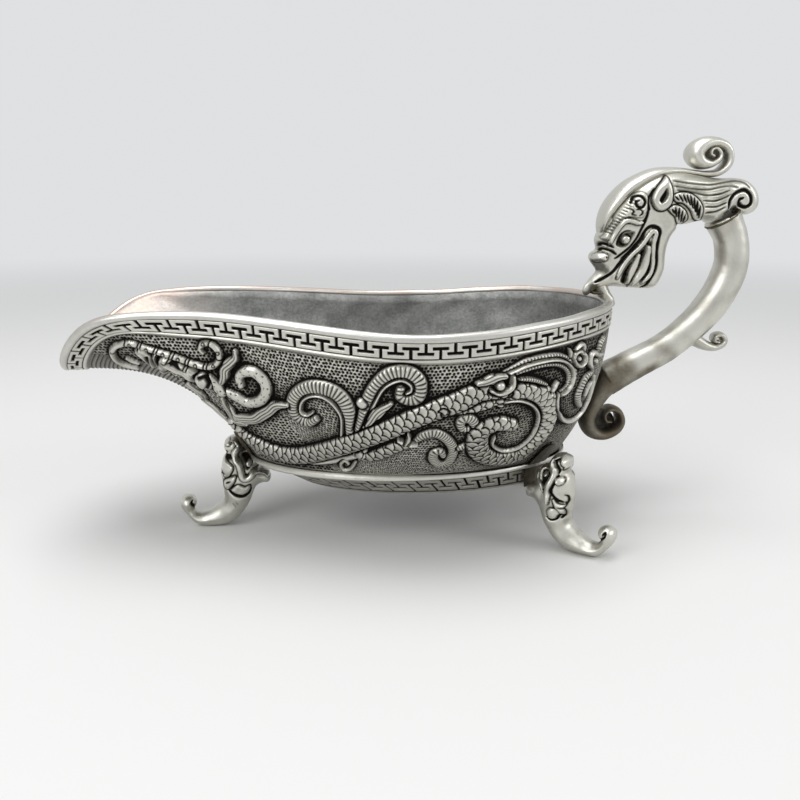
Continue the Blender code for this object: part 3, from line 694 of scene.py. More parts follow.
# %% Strokes of the whisker
whisker_strokes = (
    ("whisker", "ridge", 5.6, 0.95, (
        (140, 366), (126, 363), (116.5, 358), (112.5, 351), (116, 345), (124, 342.3), (133, 342),
        (145, 346), (162, 351.5), (179.5, 357.5), (197, 364), (211, 366), (219, 361), (219.5, 352),
        (212.5, 344), (204.5, 343), (200.8, 348), (205, 352.5))),
)
whisker_dots = (
    (113, 350), (131, 342), (148, 347), (164.6, 352.3), (179.5, 357.5), (197, 364), (215, 364.3),
    (219.3, 352), (204.5, 343))
whisker_bars = (
    (125, 339, 126.5, 348), (139, 341, 138, 348.5), (142, 341, 141, 348.5), (156, 345.5, 154, 353.5),
    (159, 346, 157, 354.5), (172, 351.5, 169, 359.5), (175, 352.5, 172, 361), (187, 358.5, 186, 366),
    (190, 359.5, 189, 367), (205, 361.5, 205, 369.5), (208, 361.5, 208.5, 369.5),
    (217, 357.5, 224, 359.5), (211, 339, 209.5, 346.5))
whisker_strokes += tuple(("whisker_dot", "dot", 6.0, 0.2, ((a, b), (a + 0.5, b))) for a, b in whisker_dots)
whisker_strokes += tuple(("whisker_bar", "line", 1.5, 0.2, ((a, b), (c, d))) for a, b, c, d in whisker_bars)
strokes = curl_strokes + body_strokes + mane_strokes + beard_strokes + face_strokes + whisker_strokes
print(len(strokes), "strokes in all")

# %% [markdown]
# ## From pixels to the bowl
# A line in the photograph has to be found on the curved wall. A projected picture would smear at
# the sides. Here a solver finds, in a few steps, the turn and rise of the spot that appears at a
# pixel, and each point of the wall then learns its place along and across the line.

# %% Pixels to the bowl
curve_steps = 10


def to_pixels(points):
    """Where points of the cup appear in the picture."""
    ray = points - camera_place
    depth = ray @ view_forward
    across = image_side / 2 + focal_pixels * (ray @ view_right) / depth
    down = image_side / 2 - focal_pixels * (ray @ view_up) / depth
    return np.stack([across, down], axis=-1)


def spline(points, steps):
    """A smooth curve through points."""
    points = np.asarray(points, dtype=float)
    padded = np.vstack([2 * points[0] - points[1], points, 2 * points[-1] - points[-2]])
    s = (np.arange(steps) / steps)[:, None]
    spans = []
    for i in range(1, len(padded) - 2):
        a, b, c, d = padded[i - 1:i + 3]
        spans.append(b + 0.5 * s * (c - a + s * (2 * a - 5 * b + 4 * c - d + s * (3 * (b - c) + d - a))))
    return np.vstack(spans + [points[-1:]])


near_side = np.array([1.0, -1.0, 1.0])


def near_point(turn, rise):
    """A point of the side that the camera sees."""
    return outer_point(turn, rise) * near_side


def onto_bowl(pixels):
    """The turn and rise of the points of the near side that appear at these pixels."""
    turns, rises = np.meshgrid(np.linspace(0.25, 3.0, 180), np.linspace(0.02, 0.97, 60))
    turns, rises = turns.ravel(), rises.ravel()
    seen = to_pixels(near_point(turns, rises))
    facing = outer_normal(turns, rises) * near_side
    away = np.sum(facing * (near_point(turns, rises) - camera_place), axis=1) > 0
    seen[away] += 1e6
    pick = np.array([np.argmin(np.sum((seen - p) ** 2, axis=1)) for p in pixels])
    turn, rise = turns[pick], rises[pick]
    step = 1e-4
    for _ in range(12):
        here = to_pixels(near_point(turn, rise))
        by_turn = (to_pixels(near_point(turn + step, rise)) - here) / step
        by_rise = (to_pixels(near_point(turn, rise + step)) - here) / step
        miss = pixels - here
        det = by_turn[:, 0] * by_rise[:, 1] - by_turn[:, 1] * by_rise[:, 0]
        det = np.where(np.abs(det) < 1e-3, 1e-3, det)
        move_turn = (miss[:, 0] * by_rise[:, 1] - miss[:, 1] * by_rise[:, 0]) / det
        move_rise = (by_turn[:, 0] * miss[:, 1] - by_turn[:, 1] * miss[:, 0]) / det
        turn = np.clip(turn + np.clip(move_turn, -0.05, 0.05), 0.05, 3.12)
        rise = np.clip(rise + np.clip(move_rise, -0.05, 0.05), 0.0, 0.995)
    return turn, rise


print("pixel (400, 400) lies at", near_point(*onto_bowl(np.array([[400.0, 400.0]])))[0].round(2))

# %% Following a stroke
block_size = 20000


def follow(points, path, path_normals):
    """For each point: the distance along a path, the offset to its side, and the distance beyond its ends."""
    arc = arc_of(path)
    tangent = unit(np.gradient(path, axis=0))
    side = unit(np.cross(path_normals, tangent))
    near = np.empty(len(points), dtype=int)
    for first in range(0, len(points), block_size):
        block = points[first:first + block_size]
        gap = np.sum(block ** 2, axis=1)[:, None] + np.sum(path ** 2, axis=1)[None, :] - 2 * block @ path.T
        near[first:first + block_size] = np.argmin(gap, axis=1)
    away = points - path[near]
    along = np.sum(away * tangent[near], axis=1)
    inner = (near > 0) & (near < len(path) - 1)
    beyond = np.where(inner, 0.0, np.where(near == 0, np.maximum(-along, 0), np.maximum(along, 0)))
    return arc[near] + along, np.sum(away * side[near], axis=1), beyond, arc[-1]


print("stroke tracing ready")

# %% [markdown]
# ## Scales
# The scales overlap like roof tiles in staggered rows. A repeated picture would stretch in the
# bends. A pattern of the length and the distance across bends with the body.

# %% Scales
scale_pitch = 2.3
scale_gap = 2.35
scale_radius = 1.19
scale_line = 0.36


def scale_height(along, offset):
    """Fish scales in staggered rows: how far each rises to its free edge, and the dark line around it."""
    row = np.floor(along / (scale_pitch / 2))
    height = np.full_like(along, -1.0)
    line = np.zeros_like(along)
    for ahead in (-2, -1, 0, 1, 2):
        this = row + ahead
        shift = 0.5 * (this % 2)
        middle = (np.round(offset / scale_gap - shift) + shift) * scale_gap
        reach = np.hypot(along - this * scale_pitch / 2, offset - middle)
        inside = (reach < scale_radius) & (height < 0)
        beside = (reach >= scale_radius) & (reach < scale_radius + scale_line) & (height < 0)
        line = np.where(beside, np.maximum(line, 1 - (reach - scale_radius) / scale_line), line)
        height = np.where(inside, reach / scale_radius, height)
    return np.maximum(height, 0.0), line


print("scales of", 2 * scale_radius, "mm, every", scale_pitch, "mm")

# %% [markdown]
# ## Cross sections
# Each kind of stroke has its own section: rounded, edged, ribbed, scaled, hairy or speckled. One
# function with many switches could hold them. One short function each, kept in a table by kind, is
# easier to read.

# %% Stroke profiles
rib_lane = 0.93
rib_depth = 0.28
scale_rise = 0.22
scale_cut = 0.20
hair_pitch = 0.62
hair_depth = 0.30


def ribbed(along, offset, u, dome, height, pitch):
    """Ribs across a stroke, cut between its two plain edges."""
    cut = (1 - np.abs(np.sin(math.pi * along / pitch))) ** 1.2
    lane = np.clip((rib_lane - u) / 0.12, 0, 1)
    return height * dome * (1 - rib_depth * cut * lane), cut * lane


def scaled(along, offset, u, dome, height, pitch):
    """Overlapping scales, each with a dark line at its free edge."""
    scale, line = scale_height(along, offset)
    raised_scales = (scale_rise * scale - scale_cut * line) * np.clip(dome * 2, 0, 1)
    return height * dome * 0.86 + raised_scales, np.clip(1.5 * line, 0, 1) + 0.26 * (1 - scale)


def hairy(along, offset, u, dome, height, pitch):
    """Wavy strands along a stroke."""
    strands = np.abs(np.sin(math.pi * (offset / hair_pitch + 0.22 * np.sin(along * 1.2))))
    cut = (1 - strands) ** 1.7
    return height * (0.5 + 0.5 * dome) * np.minimum(1, dome * 2.5) - hair_depth * cut, 0.95 * cut


print("ribs, scales and hair ready")

# %% Plain profiles
speckle_depth = 0.15
edge_groove = 0.08


def speckled(along, offset, u, dome, height, pitch):
    """A round stroke with scattered punch marks."""
    dots = (np.sin(along * 4.1 + 2.4 * np.sin(offset * 3.1))
            * np.sin(offset * 4.4 + 1.3 * np.sin(along * 1.9)))
    pit = np.clip((dots - 0.72) / 0.2, 0, 1)
    return height * dome - speckle_depth * pit, 0.9 * pit


def rounded(along, offset, u, dome, height, pitch):
    """A plain round stroke."""
    return height * dome, np.zeros_like(along)


def edged(along, offset, u, dome, height, pitch):
    """A round stroke with a fine groove along each edge."""
    groove = np.exp(-((u - 0.55) / 0.16) ** 2)
    return height * dome - edge_groove * groove, 0.25 * groove


stroke_profiles = {"ribs": ribbed, "scales": scaled, "hair": hairy, "speckle": speckled, "bead": rounded,
                   "ridge": rounded, "smooth": edged}


def profile(kind, along, offset, half_width, height, pitch):
    """Height of a stroke at points within it, and how dark it is there on top of its depth."""
    u = np.clip(np.abs(offset) / half_width, 0, 1)
    dome = np.sqrt(np.maximum(1 - u ** 2.2, 0))
    return stroke_profiles[kind](along, offset, u, dome, height, pitch)


print(len(stroke_profiles), "kinds of raised stroke")

# %% [markdown]
# ## Carving the strokes
# A chaser sinks the ground beside a line so that it stands out. Here a stroke lifts the points
# under it, presses a narrow moat beside it and leaves dark patina there. It could be sculpted, but
# changing the height of a dense grid is steadier.

# %% Carving
pixel_size = 0.222
stroke_margin = 2.2
rib_pitch = 0.72
fine_rib_pitch = 0.58
fine_rib_width = 11
dot_radius = 0.33
dot_line = 0.12
moat_width = 0.55
moat_depth = 0.22
moat_ground = 0.35
blunt_ends = {"bead": 1.0, "ridge": 0.25, "hair": 0.35}
usual_blunt = 0.62


def trace_stroke(points, pixels, half):
    """A stroke's path on the bowl, the directions out of it, and the points that lie around it."""
    turn, rise = onto_bowl(spline(pixels, curve_steps))
    path = near_point(turn, rise)
    margin = stroke_margin * half
    low, high = path.min(axis=0) - margin, path.max(axis=0) + margin
    inside = np.where(np.all((points > low) & (points < high), axis=1))[0]
    return path, outer_normal(turn, rise) * near_side, inside


def engrave(relief, shade, inside, mark, depth):
    """Cut a mark into the relief and darken it."""
    relief[inside] -= depth * mark
    shade[inside] = np.maximum(shade[inside], mark)


def raise_stroke(relief, shade, taken, inside, gap, value, dark):
    """Lay a stroke over what is there, with a dark moat around it. The gap is below 0 on the stroke."""
    under, tone = relief[inside], shade[inside]
    under = np.where(gap < 0, np.maximum(value, 0.25 * under), under)
    tone = np.where(gap < 0, dark, tone)
    moat = (gap >= 0) & (gap < moat_width)
    slope = np.clip(gap / moat_width, 0, 1)
    relief[inside] = np.where(moat, np.minimum(under, under * slope - moat_depth * (1 - slope)), under)
    shade[inside] = np.where(moat, np.maximum(tone, 0.9 * (1 - slope)), tone)
    taken[inside] = np.where(gap < moat_ground, 1.0, taken[inside])


print("a stroke lies in a moat", moat_width, "mm wide")

# %% All strokes
def carve(turn, rise):
    """Height and shade of the whole relief on a grid of the near side, and where it lies."""
    points = near_point(turn, rise).reshape(-1, 3)
    relief, shade, taken = np.zeros((3, len(points)))
    for _, kind, width, height, pixels in strokes:
        half = width / 2 * pixel_size
        path, path_normals, inside = trace_stroke(points, pixels, half)
        if len(inside) == 0:
            continue
        along, offset, beyond, length = follow(points[inside], path, path_normals)
        reach = np.hypot(offset, beyond)
        if kind == "line":
            engrave(relief, shade, inside, np.exp(-(reach / half) ** 4), height)
        elif kind == "dot":
            ring = np.linalg.norm(points[inside] - path[0], axis=1) - dot_radius
            engrave(relief, shade, inside, np.exp(-(ring / dot_line) ** 2), height)
        else:
            blunt = blunt_ends.get(kind, usual_blunt)
            ends = np.minimum(along, length - along)
            local = half * np.clip(blunt + (1 - blunt) * ends / (3.5 * half), blunt, 1.0)
            pitch = rib_pitch if width > fine_rib_width else fine_rib_pitch
            value, dark = profile(kind, along, np.where(beyond > 0, reach, offset), local, height, pitch)
            raise_stroke(relief, shade, taken, inside, reach - local, value, dark)
    return relief.reshape(turn.shape), shade.reshape(turn.shape), taken.reshape(turn.shape)


print("strokes are carved at", pixel_size, "mm for each pixel")

# %% [markdown]
# ## Punched ground
# Between the figures the metal is matted with a small round punch. Noise would look like sand, so
# pits stand in a staggered lattice, slightly shifted, as from a hand that keeps a pitch.

# %% Punched ground
pit_pitch = 0.74
pit_radius = 0.34
pit_scatter = 0.22
pit_depth = 0.24
row_share = 0.866


def scatter(a, b):
    """A fixed shuffle of whole numbers, from -0.5 to 0.5."""
    return (np.sin(a * 12.9898 + b * 78.233) * 43758.5453) % 1.0 - 0.5


def pits(along, depth):
    """The punched ground: small round pits in loose staggered rows."""
    row_pitch = pit_pitch * row_share
    row = np.round(depth / row_pitch)
    column = np.round(along / pit_pitch - 0.5 * (row % 2)) + 0.5 * (row % 2)
    aside = along - column * pit_pitch - pit_scatter * scatter(column, row)
    below = depth - row * row_pitch - pit_scatter * scatter(row, column + 7)
    pit = np.clip(1.6 - 1.6 * (np.hypot(aside, below) / pit_radius) ** 2, 0, 1)
    return -pit_depth * pit, pit


print("pits every", pit_pitch, "mm,", pit_depth, "mm deep")

# %% [markdown]
# ## Key fret
# A band of T shaped keys runs under the lip and around the foot. One key could be modelled and
# copied along a curve, but a rule for one unit, repeated by length, meets itself neatly where the
# band closes.

# %% Key fret
fret_pitch = 5.3
fret_bar = 2.9
fret_groove = 0.5
groove_blur = 0.12


def soft(edge):
    """A soft step across an edge."""
    return np.clip(edge / groove_blur + 0.5, 0, 1)


def fret(along, share, band):
    """Depth, from 0 to 1, of the key fret's grooves: a T and an upside down T by turns."""
    groove = np.zeros_like(along)
    for shift, level, sign in ((0.0, 0.35, 1.0), (0.5, 0.65, -1.0)):
        place = (along / fret_pitch + shift + 0.5) % 1.0 - 0.5
        a = np.abs(place) * fret_pitch
        rise = (share - level) * band
        bar = soft(fret_groove / 2 - np.abs(rise)) * soft(fret_bar / 2 - a)
        stem = soft(fret_groove / 2 - a) * soft(sign * rise)
        groove = np.maximum(groove, np.maximum(bar, stem))
    return groove


print("a fret unit is", fret_pitch, "mm long")

# %% [markdown]
# ## Carved walls
# The outside of the bowl carries the dragon on both sides. It could be one sheet all round. Three
# patches for each side keep the sheets small, and the far side mirrors the near one.

# %% Bowl walls
wall_rows = 240
comb_pitch = 0.85
comb_start = 2.78
comb_depth = 0.07
patch_turns = ((0.0, 1.35), (1.35, 2.05), (2.05, math.pi))
keel_patch = 2.0
plain_margin = 1.0
rail_height = 0.30


def raised(turns, rises, height):
    """Points of the bowl's outside, moved outwards by a height."""
    normals = outer_normal(turns.ravel(), rises.ravel()).reshape(*turns.shape, 3)
    return outer_point(turns, rises) + normals * height[..., None]


def wall_ground(start, turns, along, depth, bare):
    """The ground between the strokes: pits, which give way to a comb below the spout's tip."""
    across, down = np.repeat(along[None, :], wall_rows, axis=0), depth
    if start >= keel_patch:
        across, down = -bare[..., 0], -bare[..., 2]
    ground, dark = pits(across, down)
    comb = np.cos(2 * math.pi * (depth - band_low) / comb_pitch)
    tip = ease((turns - comb_start) / 0.08)
    return ((1 - tip) * ground - comb_depth * tip * (1 - comb),
            (1 - tip) * dark + tip * (0.45 + 0.4 * comb))


def wall_wear_and_shade(height, depth, bare, free):
    """How dark the plate is: patina dark in hollows and bright on high spots, and painted shade low down and
    towards the back.
    """
    cavity = (blur(height, 5.0) - height) * 1.7 + (blur(height, 16.0) - height) * 1.2
    # Painted shade: the plate is made darker towards the back of the bowl and low down on the wall.
    back = 0.32 * ease((bare[..., 0] - 6.0) / 24.0) + 0.10 * ease((depth - 18.0) / 14.0)
    return np.clip(0.27 + back + cavity - 0.24 * np.clip(height, 0, 1.2) - 0.08 * free, 0, 1)


def make_walls():
    share = np.linspace(0.0, 1.0, wall_rows)
    for number, (start, stop) in enumerate(patch_turns):
        turn, along = even_turns(start, stop, cell)
        rises, depth = rises_below_lip(turn, -np.maximum(share[:, None], 1e-9))
        turns = np.repeat(turn[None, :], wall_rows, axis=0)
        bare = outer_point(turns, rises)
        relief, shade, taken = carve(turns, rises)
        ground, dark = wall_ground(start, turns, along, depth, bare)
        margin = np.minimum(depth - band_low, depth.max(axis=0)[None, :] - depth)
        free = 1 - taken
        rail = np.exp(-((depth - band_low - 0.35) / 0.28) ** 2)
        height = relief + free * ground * (margin > plain_margin) + rail_height * rail
        shade = np.maximum(shade, free * dark * (margin > plain_margin))
        shade = np.maximum(shade, 0.55 * np.exp(-((depth - band_low - 0.95) / 0.3) ** 2))
        patina_and_shade = np.maximum(wall_wear_and_shade(height, depth, bare, free), 0.95 * shade)
        surface = raised(turns, rises, height)
        for side, sign in (("near", -1.0), ("far", 1.0)):
            name = f"wall_{side}_{number}"
            data = mesh_grid(name, surface * np.array([1.0, sign, 1.0]), flip=sign < 0)
            set_value(data, "patina_and_shade", patina_and_shade)
            dress(name, data, relief_metal, "bowl")
        print("wall patch", number, turns.shape)


make_walls()

# %% [markdown]
# ## Fret below the lip
# The upper fret is a shallow band of constant height that follows the drooping rim. A flat strip
# bent to shape would crease at the spout, so it is a closed sheet of its own, laid on the wall's
# formula by its distance from the lip.

# %% Rim fret
fret_rows = 30
fret_cell = 0.13
fret_lift = 0.30
fret_depth = 0.45
edge_depth = 0.40


def make_rim_fret():
    half, half_along = even_turns(0.0, math.pi, fret_cell)
    drops = np.linspace(0.0, band_low + 0.05, fret_rows)[:, None]
    half_rises, _ = rises_below_lip(half, drops)
    turn = np.concatenate([half, -half[-2:0:-1]])
    along = np.concatenate([half_along, 2 * half_along[-1] - half_along[-2:0:-1]])
    rises = np.concatenate([half_rises, half_rises[:, -2:0:-1]], axis=1)
    turns = np.repeat(turn[None, :], fret_rows, axis=0)
    along = np.repeat(along[None, :], fret_rows, axis=0)
    depth = np.repeat(drops, turns.shape[1], axis=1)
    whole = round(2 * half_along[-1] / fret_pitch)
    stretch = whole * fret_pitch / (2 * half_along[-1])
    share = (depth - band_top) / (band_low - band_top)
    groove = fret(along * stretch, share, band_low - band_top)
    edge = np.maximum(*(np.exp(-((depth - level) / 0.16) ** 2) for level in (band_top, band_low)))
    height = fret_lift - fret_depth * groove - edge_depth * edge
    patina_and_shade = np.clip(0.14 + 1.0 * groove + 0.95 * edge + (blur(height, 4.0) - height) * 0.9, 0, 1)
    surface = raised(turns, rises, height)
    data = mesh_grid("rim_fret", surface, closed=True)
    set_value(data, "patina_and_shade", patina_and_shade)
    dress("rim_fret", data, relief_metal, "bowl")
    print("rim fret", surface.shape)


make_rim_fret()

# %% [markdown]
# ## Lip
# The edge of the sheet is rolled over into a round bead and worn down to the copper. A bevelled
# curve would do for a level rim. This one droops, so a round section is placed square to the path
# at each column.

# %% Lip
lip_columns = 420
lip_inset = 0.6
lip_steps = 22
lip_turn = np.arange(lip_columns) * 2 * math.pi / lip_columns


def make_lip():
    """The round lip. Its last ring is where the inside starts."""
    ends = np.ones_like(lip_turn)
    outward = outer_normal(lip_turn, ends)
    upward = unit(outer_point(lip_turn, ends) - outer_point(lip_turn, ends - 0.02))
    centre = outer_point(lip_turn, ends) - outward * lip_inset
    angles = np.radians(np.linspace(-48, 200, lip_steps))
    degrees = np.degrees(angles)[:, None]
    uneven = 0.05 * np.sin(lip_turn * 9) + 0.04 * np.sin(lip_turn * 17 + 1)
    lip = np.array([centre + (lip_radius + uneven * math.sin(a))[:, None]
                    * (math.cos(a) * outward + math.sin(a) * upward) for a in angles])
    data = mesh_grid("lip", lip, closed=True)
    wear = np.clip(0.5 + 0.5 * np.sin(angles[:, None]), 0, 1) * ease((lip[:, :, 1] + 12) / 30)
    tip = ease((-lip[:, :, 0] - 40) / 30) * ease((degrees - 60) / 60)
    set_value(data, "tint", np.maximum(0.55 * wear, 0.8 * tip))
    set_value(data, "patina_and_shade", np.repeat(0.14 + 0.8 * ease((-degrees - 22) / 20), lip_columns, axis=1))
    dress("lip", data, lip_metal, "bowl")
    print("lip", lip.shape)
    return lip[-1]


lip_edge = make_lip()

# %% [markdown]
# ## Inside
# The inside is smooth and dull, with soft hammer marks. A solidified wall would push the carving
# through to it. A sheet of its own, offset inwards by the wall, stays clean.

# %% Inside
inside_rows = 44
floor_dish = 0.0008
floor_shares = (0.9, 0.75, 0.55, 0.35, 0.15, 0.02)
ripple_height = 0.12


def make_inside():
    """The inside wall and the floor of the bowl, slightly rippled by the hammer."""
    rings = [lip_edge]
    for rise in reversed(np.linspace(0, 0.955, inside_rows) ** 1.15):
        level = np.full_like(lip_turn, rise)
        inner = outer_point(lip_turn, level) - outer_normal(lip_turn, level) * wall
        dish = base_height + 1.2 * floor_thickness + floor_dish * inner[:, 0] ** 2
        inner[:, 2] = np.maximum(inner[:, 2], dish)
        rings.append(inner)
    for share in floor_shares:
        rings.append(oval(lip_turn, base_centre, (base_half_length - wall) * share,
                          (base_half_width - wall) * share, base_height + floor_thickness))
    inside = np.array(rings)
    x, z = inside[:, :, 0], inside[:, :, 2]
    ripple = ripple_height * np.sin(x * 0.55 + 1.3 * np.sin(z * 0.35)) * np.sin(z * 0.6)
    hammered = slice(2, -len(floor_shares))
    inside[hammered] += ripple[hammered, :, None] * np.array([0.3, 0.8, 0.3])
    data = mesh_grid("inside", inside, closed=True, end_cap=True)
    set_value(data, "patina_and_shade", 0.22 + 0.26 * ease((rim_waist_height - inside[:, :, 2]) / 30))
    set_value(data, "tint", 0.9 * ease((-inside[:, :, 0] - 38) / 24))
    dress("inside", data, inside_metal, "bowl")
    print("inside", inside.shape)


make_inside()

# %% [markdown]
# ## Foot of the bowl
# A round bead closes the wall, a second fret runs down to the base and a plain plate closes the
# underside. Separate rings would do. One sheet that goes round the bead and down leaves no gap, and
# the plate starts from its last ring.

# %% Foot band
foot_columns = 1300
foot_rows = 40
# The cup is plated, darkened with a stain, then rubbed bright where a cloth can reach. A painted picture
# could carry that. Here each point holds a patina value, 0 on worn tops and 1 in the recesses, with painted
# shade added in some places, that picks a tone, and noise adds stains and scratches. So the wear follows the
# carving by itself.
foot_turn = np.arange(foot_columns) * 2 * math.pi / foot_columns
rail_radius = 0.75
rail_lift = 1.15
foot_fret = (0.24, 0.90)


def make_foot_band():
    """The bead rail and the fret below it. Its last ring is the edge of the underside."""
    high = oval(foot_turn, bead_centre, bead_half_length, bead_half_width, bead_height)
    low = oval(foot_turn, base_centre, base_half_length, base_half_width, base_height)
    ahead = np.roll(high, -1, axis=0) - np.roll(high, 1, axis=0)
    normal = unit(np.cross(ahead, -unit(low - high)))
    along = arc_of(np.vstack([high, high[:1]]))
    along = along[:-1] * (round(along[-1] / fret_pitch) * fret_pitch / along[-1])
    length = np.linalg.norm(low - high, axis=1)
    band = length.mean()
    level = np.linspace(-0.10, 1.0, foot_rows)[:, None] * np.ones_like(foot_turn)[None, :]
    rail = np.sqrt(np.clip(1 - (level * length[None, :] / rail_radius) ** 2, 0, 1))
    start, stop = foot_fret
    share = (level - start) / (stop - start)
    on = (level > start) & (level < stop)
    groove = fret(np.repeat(along[None, :], foot_rows, axis=0), share, band * (stop - start)) * on
    edge = np.maximum(*(np.exp(-((level - end) * band / 0.2) ** 2) for end in foot_fret))
    height = rail_lift * rail + np.where(level > start, 0.25 - 0.42 * groove, 0.0) - 0.3 * edge
    surface = high[None] + (low - high)[None] * level[..., None] + normal[None] * height[..., None]
    cavity = blur(height, 4.0) - height
    # The base of 0.28 is partly painted shade over the whole band, which lies under the bowl; grooves, edges
    # and hollows add patina.
    patina_and_shade = np.clip(0.28 + 1.5 * groove + 0.8 * edge - 0.2 * rail + 0.5 * cavity, 0, 1)
    data = mesh_grid("foot_band", surface, closed=True, flip=True)
    set_value(data, "patina_and_shade", patina_and_shade)
    dress("foot_band", data, relief_metal, "bowl")
    print("foot band", surface.shape)
    return surface[-1]


foot_edge = make_foot_band()

# %% Underside
under_steps = (
    (0.97, 0.0), (0.93, 0.0), (0.90, 0.5), (0.84, 0.8), (0.6, 0.9), (0.3, 0.95), (0.02, 0.95))


def make_underside():
    """The underside, set back a little inside its edge."""
    rings = [foot_edge]
    for inset, lift in under_steps:
        rings.append(oval(foot_turn, base_centre, base_half_length * inset, base_half_width * inset,
                          base_height + lift))
    under = np.array(rings)
    data = mesh_grid("underside", under, closed=True, flip=True, end_cap=True)
    set_value(data, "patina_and_shade", 0.40 + 0.2 * np.sin(under[:, :, 0] * 0.4) * np.sin(under[:, :, 1] * 0.5))
    dress("underside", data, inside_metal, "bowl")
    print("underside", under.shape)


make_underside()

# %% [markdown]
# ## Castings
# The head and the legs were cast in moulds: thick in the middle, round at the edge, and best read
# from the side. Sculpting could start from a block. Swelling a closed outline by each spot's
# distance from its edge, towards half widths that change over it, gives that form at once.

# %% Outlines
def edge_distance(points, outline):
    """Distance to the edge of a closed outline, positive inside it, and the nearest point on the edge."""
    first = outline
    second = np.roll(outline, -1, axis=0)
    best = np.full(len(points), 1e9)
    nearest = np.zeros_like(points)
    inside = np.zeros(len(points), dtype=bool)
    for a, b in zip(first, second):
        span = b - a
        share = np.clip(((points - a) @ span) / max(span @ span, 1e-12), 0, 1)
        foot = a + share[:, None] * span
        gap = np.sum((points - foot) ** 2, axis=1)
        closer = gap < best
        best = np.where(closer, gap, best)
        nearest = np.where(closer[:, None], foot, nearest)
        crosses = (a[1] > points[:, 1]) != (b[1] > points[:, 1])
        level = a[0] + (points[:, 1] - a[1]) * span[0] / (span[1] if abs(span[1]) > 1e-12 else 1e-12)
        inside ^= crosses & (points[:, 0] < level)
    return np.sqrt(best) * np.where(inside, 1.0, -1.0), nearest


def closed_spline(points, steps):
    points = np.asarray(points, dtype=float)
    loop = np.vstack([points[-2:], points, points[:3]])
    return spline(loop, steps)[2 * steps:-3 * steps - 1 + steps]


def blend_widths(points, controls):
    """A half width that flows between control points."""
    total = np.zeros(len(points))
    weight = np.zeros(len(points))
    for a, b, width in controls:
        share = 1.0 / (0.3 + (points[:, 0] - a) ** 2 + (points[:, 1] - b) ** 2) ** 1.5
        total += share * width
        weight += share
    return total / weight


print("outline tools ready")

# %% Castings
cast_cell = 0.15


class Casting:
    """One flat casting: a height field to both sides of a plane."""

    def __init__(self, outline, controls, roundness):
        low = outline.min(axis=0) - 2 * cast_cell
        high = outline.max(axis=0) + 2 * cast_cell
        self.a = np.arange(low[0], high[0], cast_cell)
        self.b = np.arange(low[1], high[1], cast_cell)
        grid_a, grid_b = np.meshgrid(self.a, self.b)
        self.points = np.stack([grid_a.ravel(), grid_b.ravel()], axis=1)
        self.distance, self.nearest = edge_distance(self.points, outline)
        widths = blend_widths(self.points, controls)
        depth = np.clip(self.distance / roundness, 0, 1)
        self.swell = widths * np.sqrt(np.clip(1 - (1 - depth) ** 2, 0, 1))
        self.relief = np.zeros(len(self.points))
        self.shade = np.zeros(len(self.points))

    def look_up(self, values, spots):
        """Values of the field at other places."""
        field = values.reshape(len(self.b), len(self.a))
        i = np.clip((spots[:, 0] - self.a[0]) / cast_cell, 0, len(self.a) - 1.001)
        j = np.clip((spots[:, 1] - self.b[0]) / cast_cell, 0, len(self.b) - 1.001)
        i0, j0 = i.astype(int), j.astype(int)
        u, v = i - i0, j - j0
        return ((1 - u) * (1 - v) * field[j0, i0] + u * (1 - v) * field[j0, i0 + 1]
                + (1 - u) * v * field[j0 + 1, i0] + u * v * field[j0 + 1, i0 + 1])


print("castings on a grid of", cast_cell, "mm")

# %% [markdown]
# ## Lines and areas on a casting
# After casting, grooves are cut and bands are left standing, a socket is sunk and an ear stands
# out. Booleans would break on such small work. Each line or closed area changes the height field,
# with a dark moat beside what is raised.

# %% Drawing on a casting
draw_margin = 0.4
band_ends = 0.55
moat = 0.32


def path_gap(spots, path):
    """For each spot: its gap to a path, how far along the path that is, and the path's length."""
    gap = np.full(len(spots), 1e9)
    along = np.zeros(len(spots))
    arc = arc_of(path)
    for k in range(len(path) - 1):
        span = path[k + 1] - path[k]
        share = np.clip(((spots - path[k]) @ span) / max(span @ span, 1e-12), 0, 1)
        reach = np.linalg.norm(spots - path[k] - share[:, None] * span, axis=1)
        closer = reach < gap
        gap = np.where(closer, reach, gap)
        along = np.where(closer, arc[k] + share * (arc[k + 1] - arc[k]), along)
    return gap, along, arc[-1]


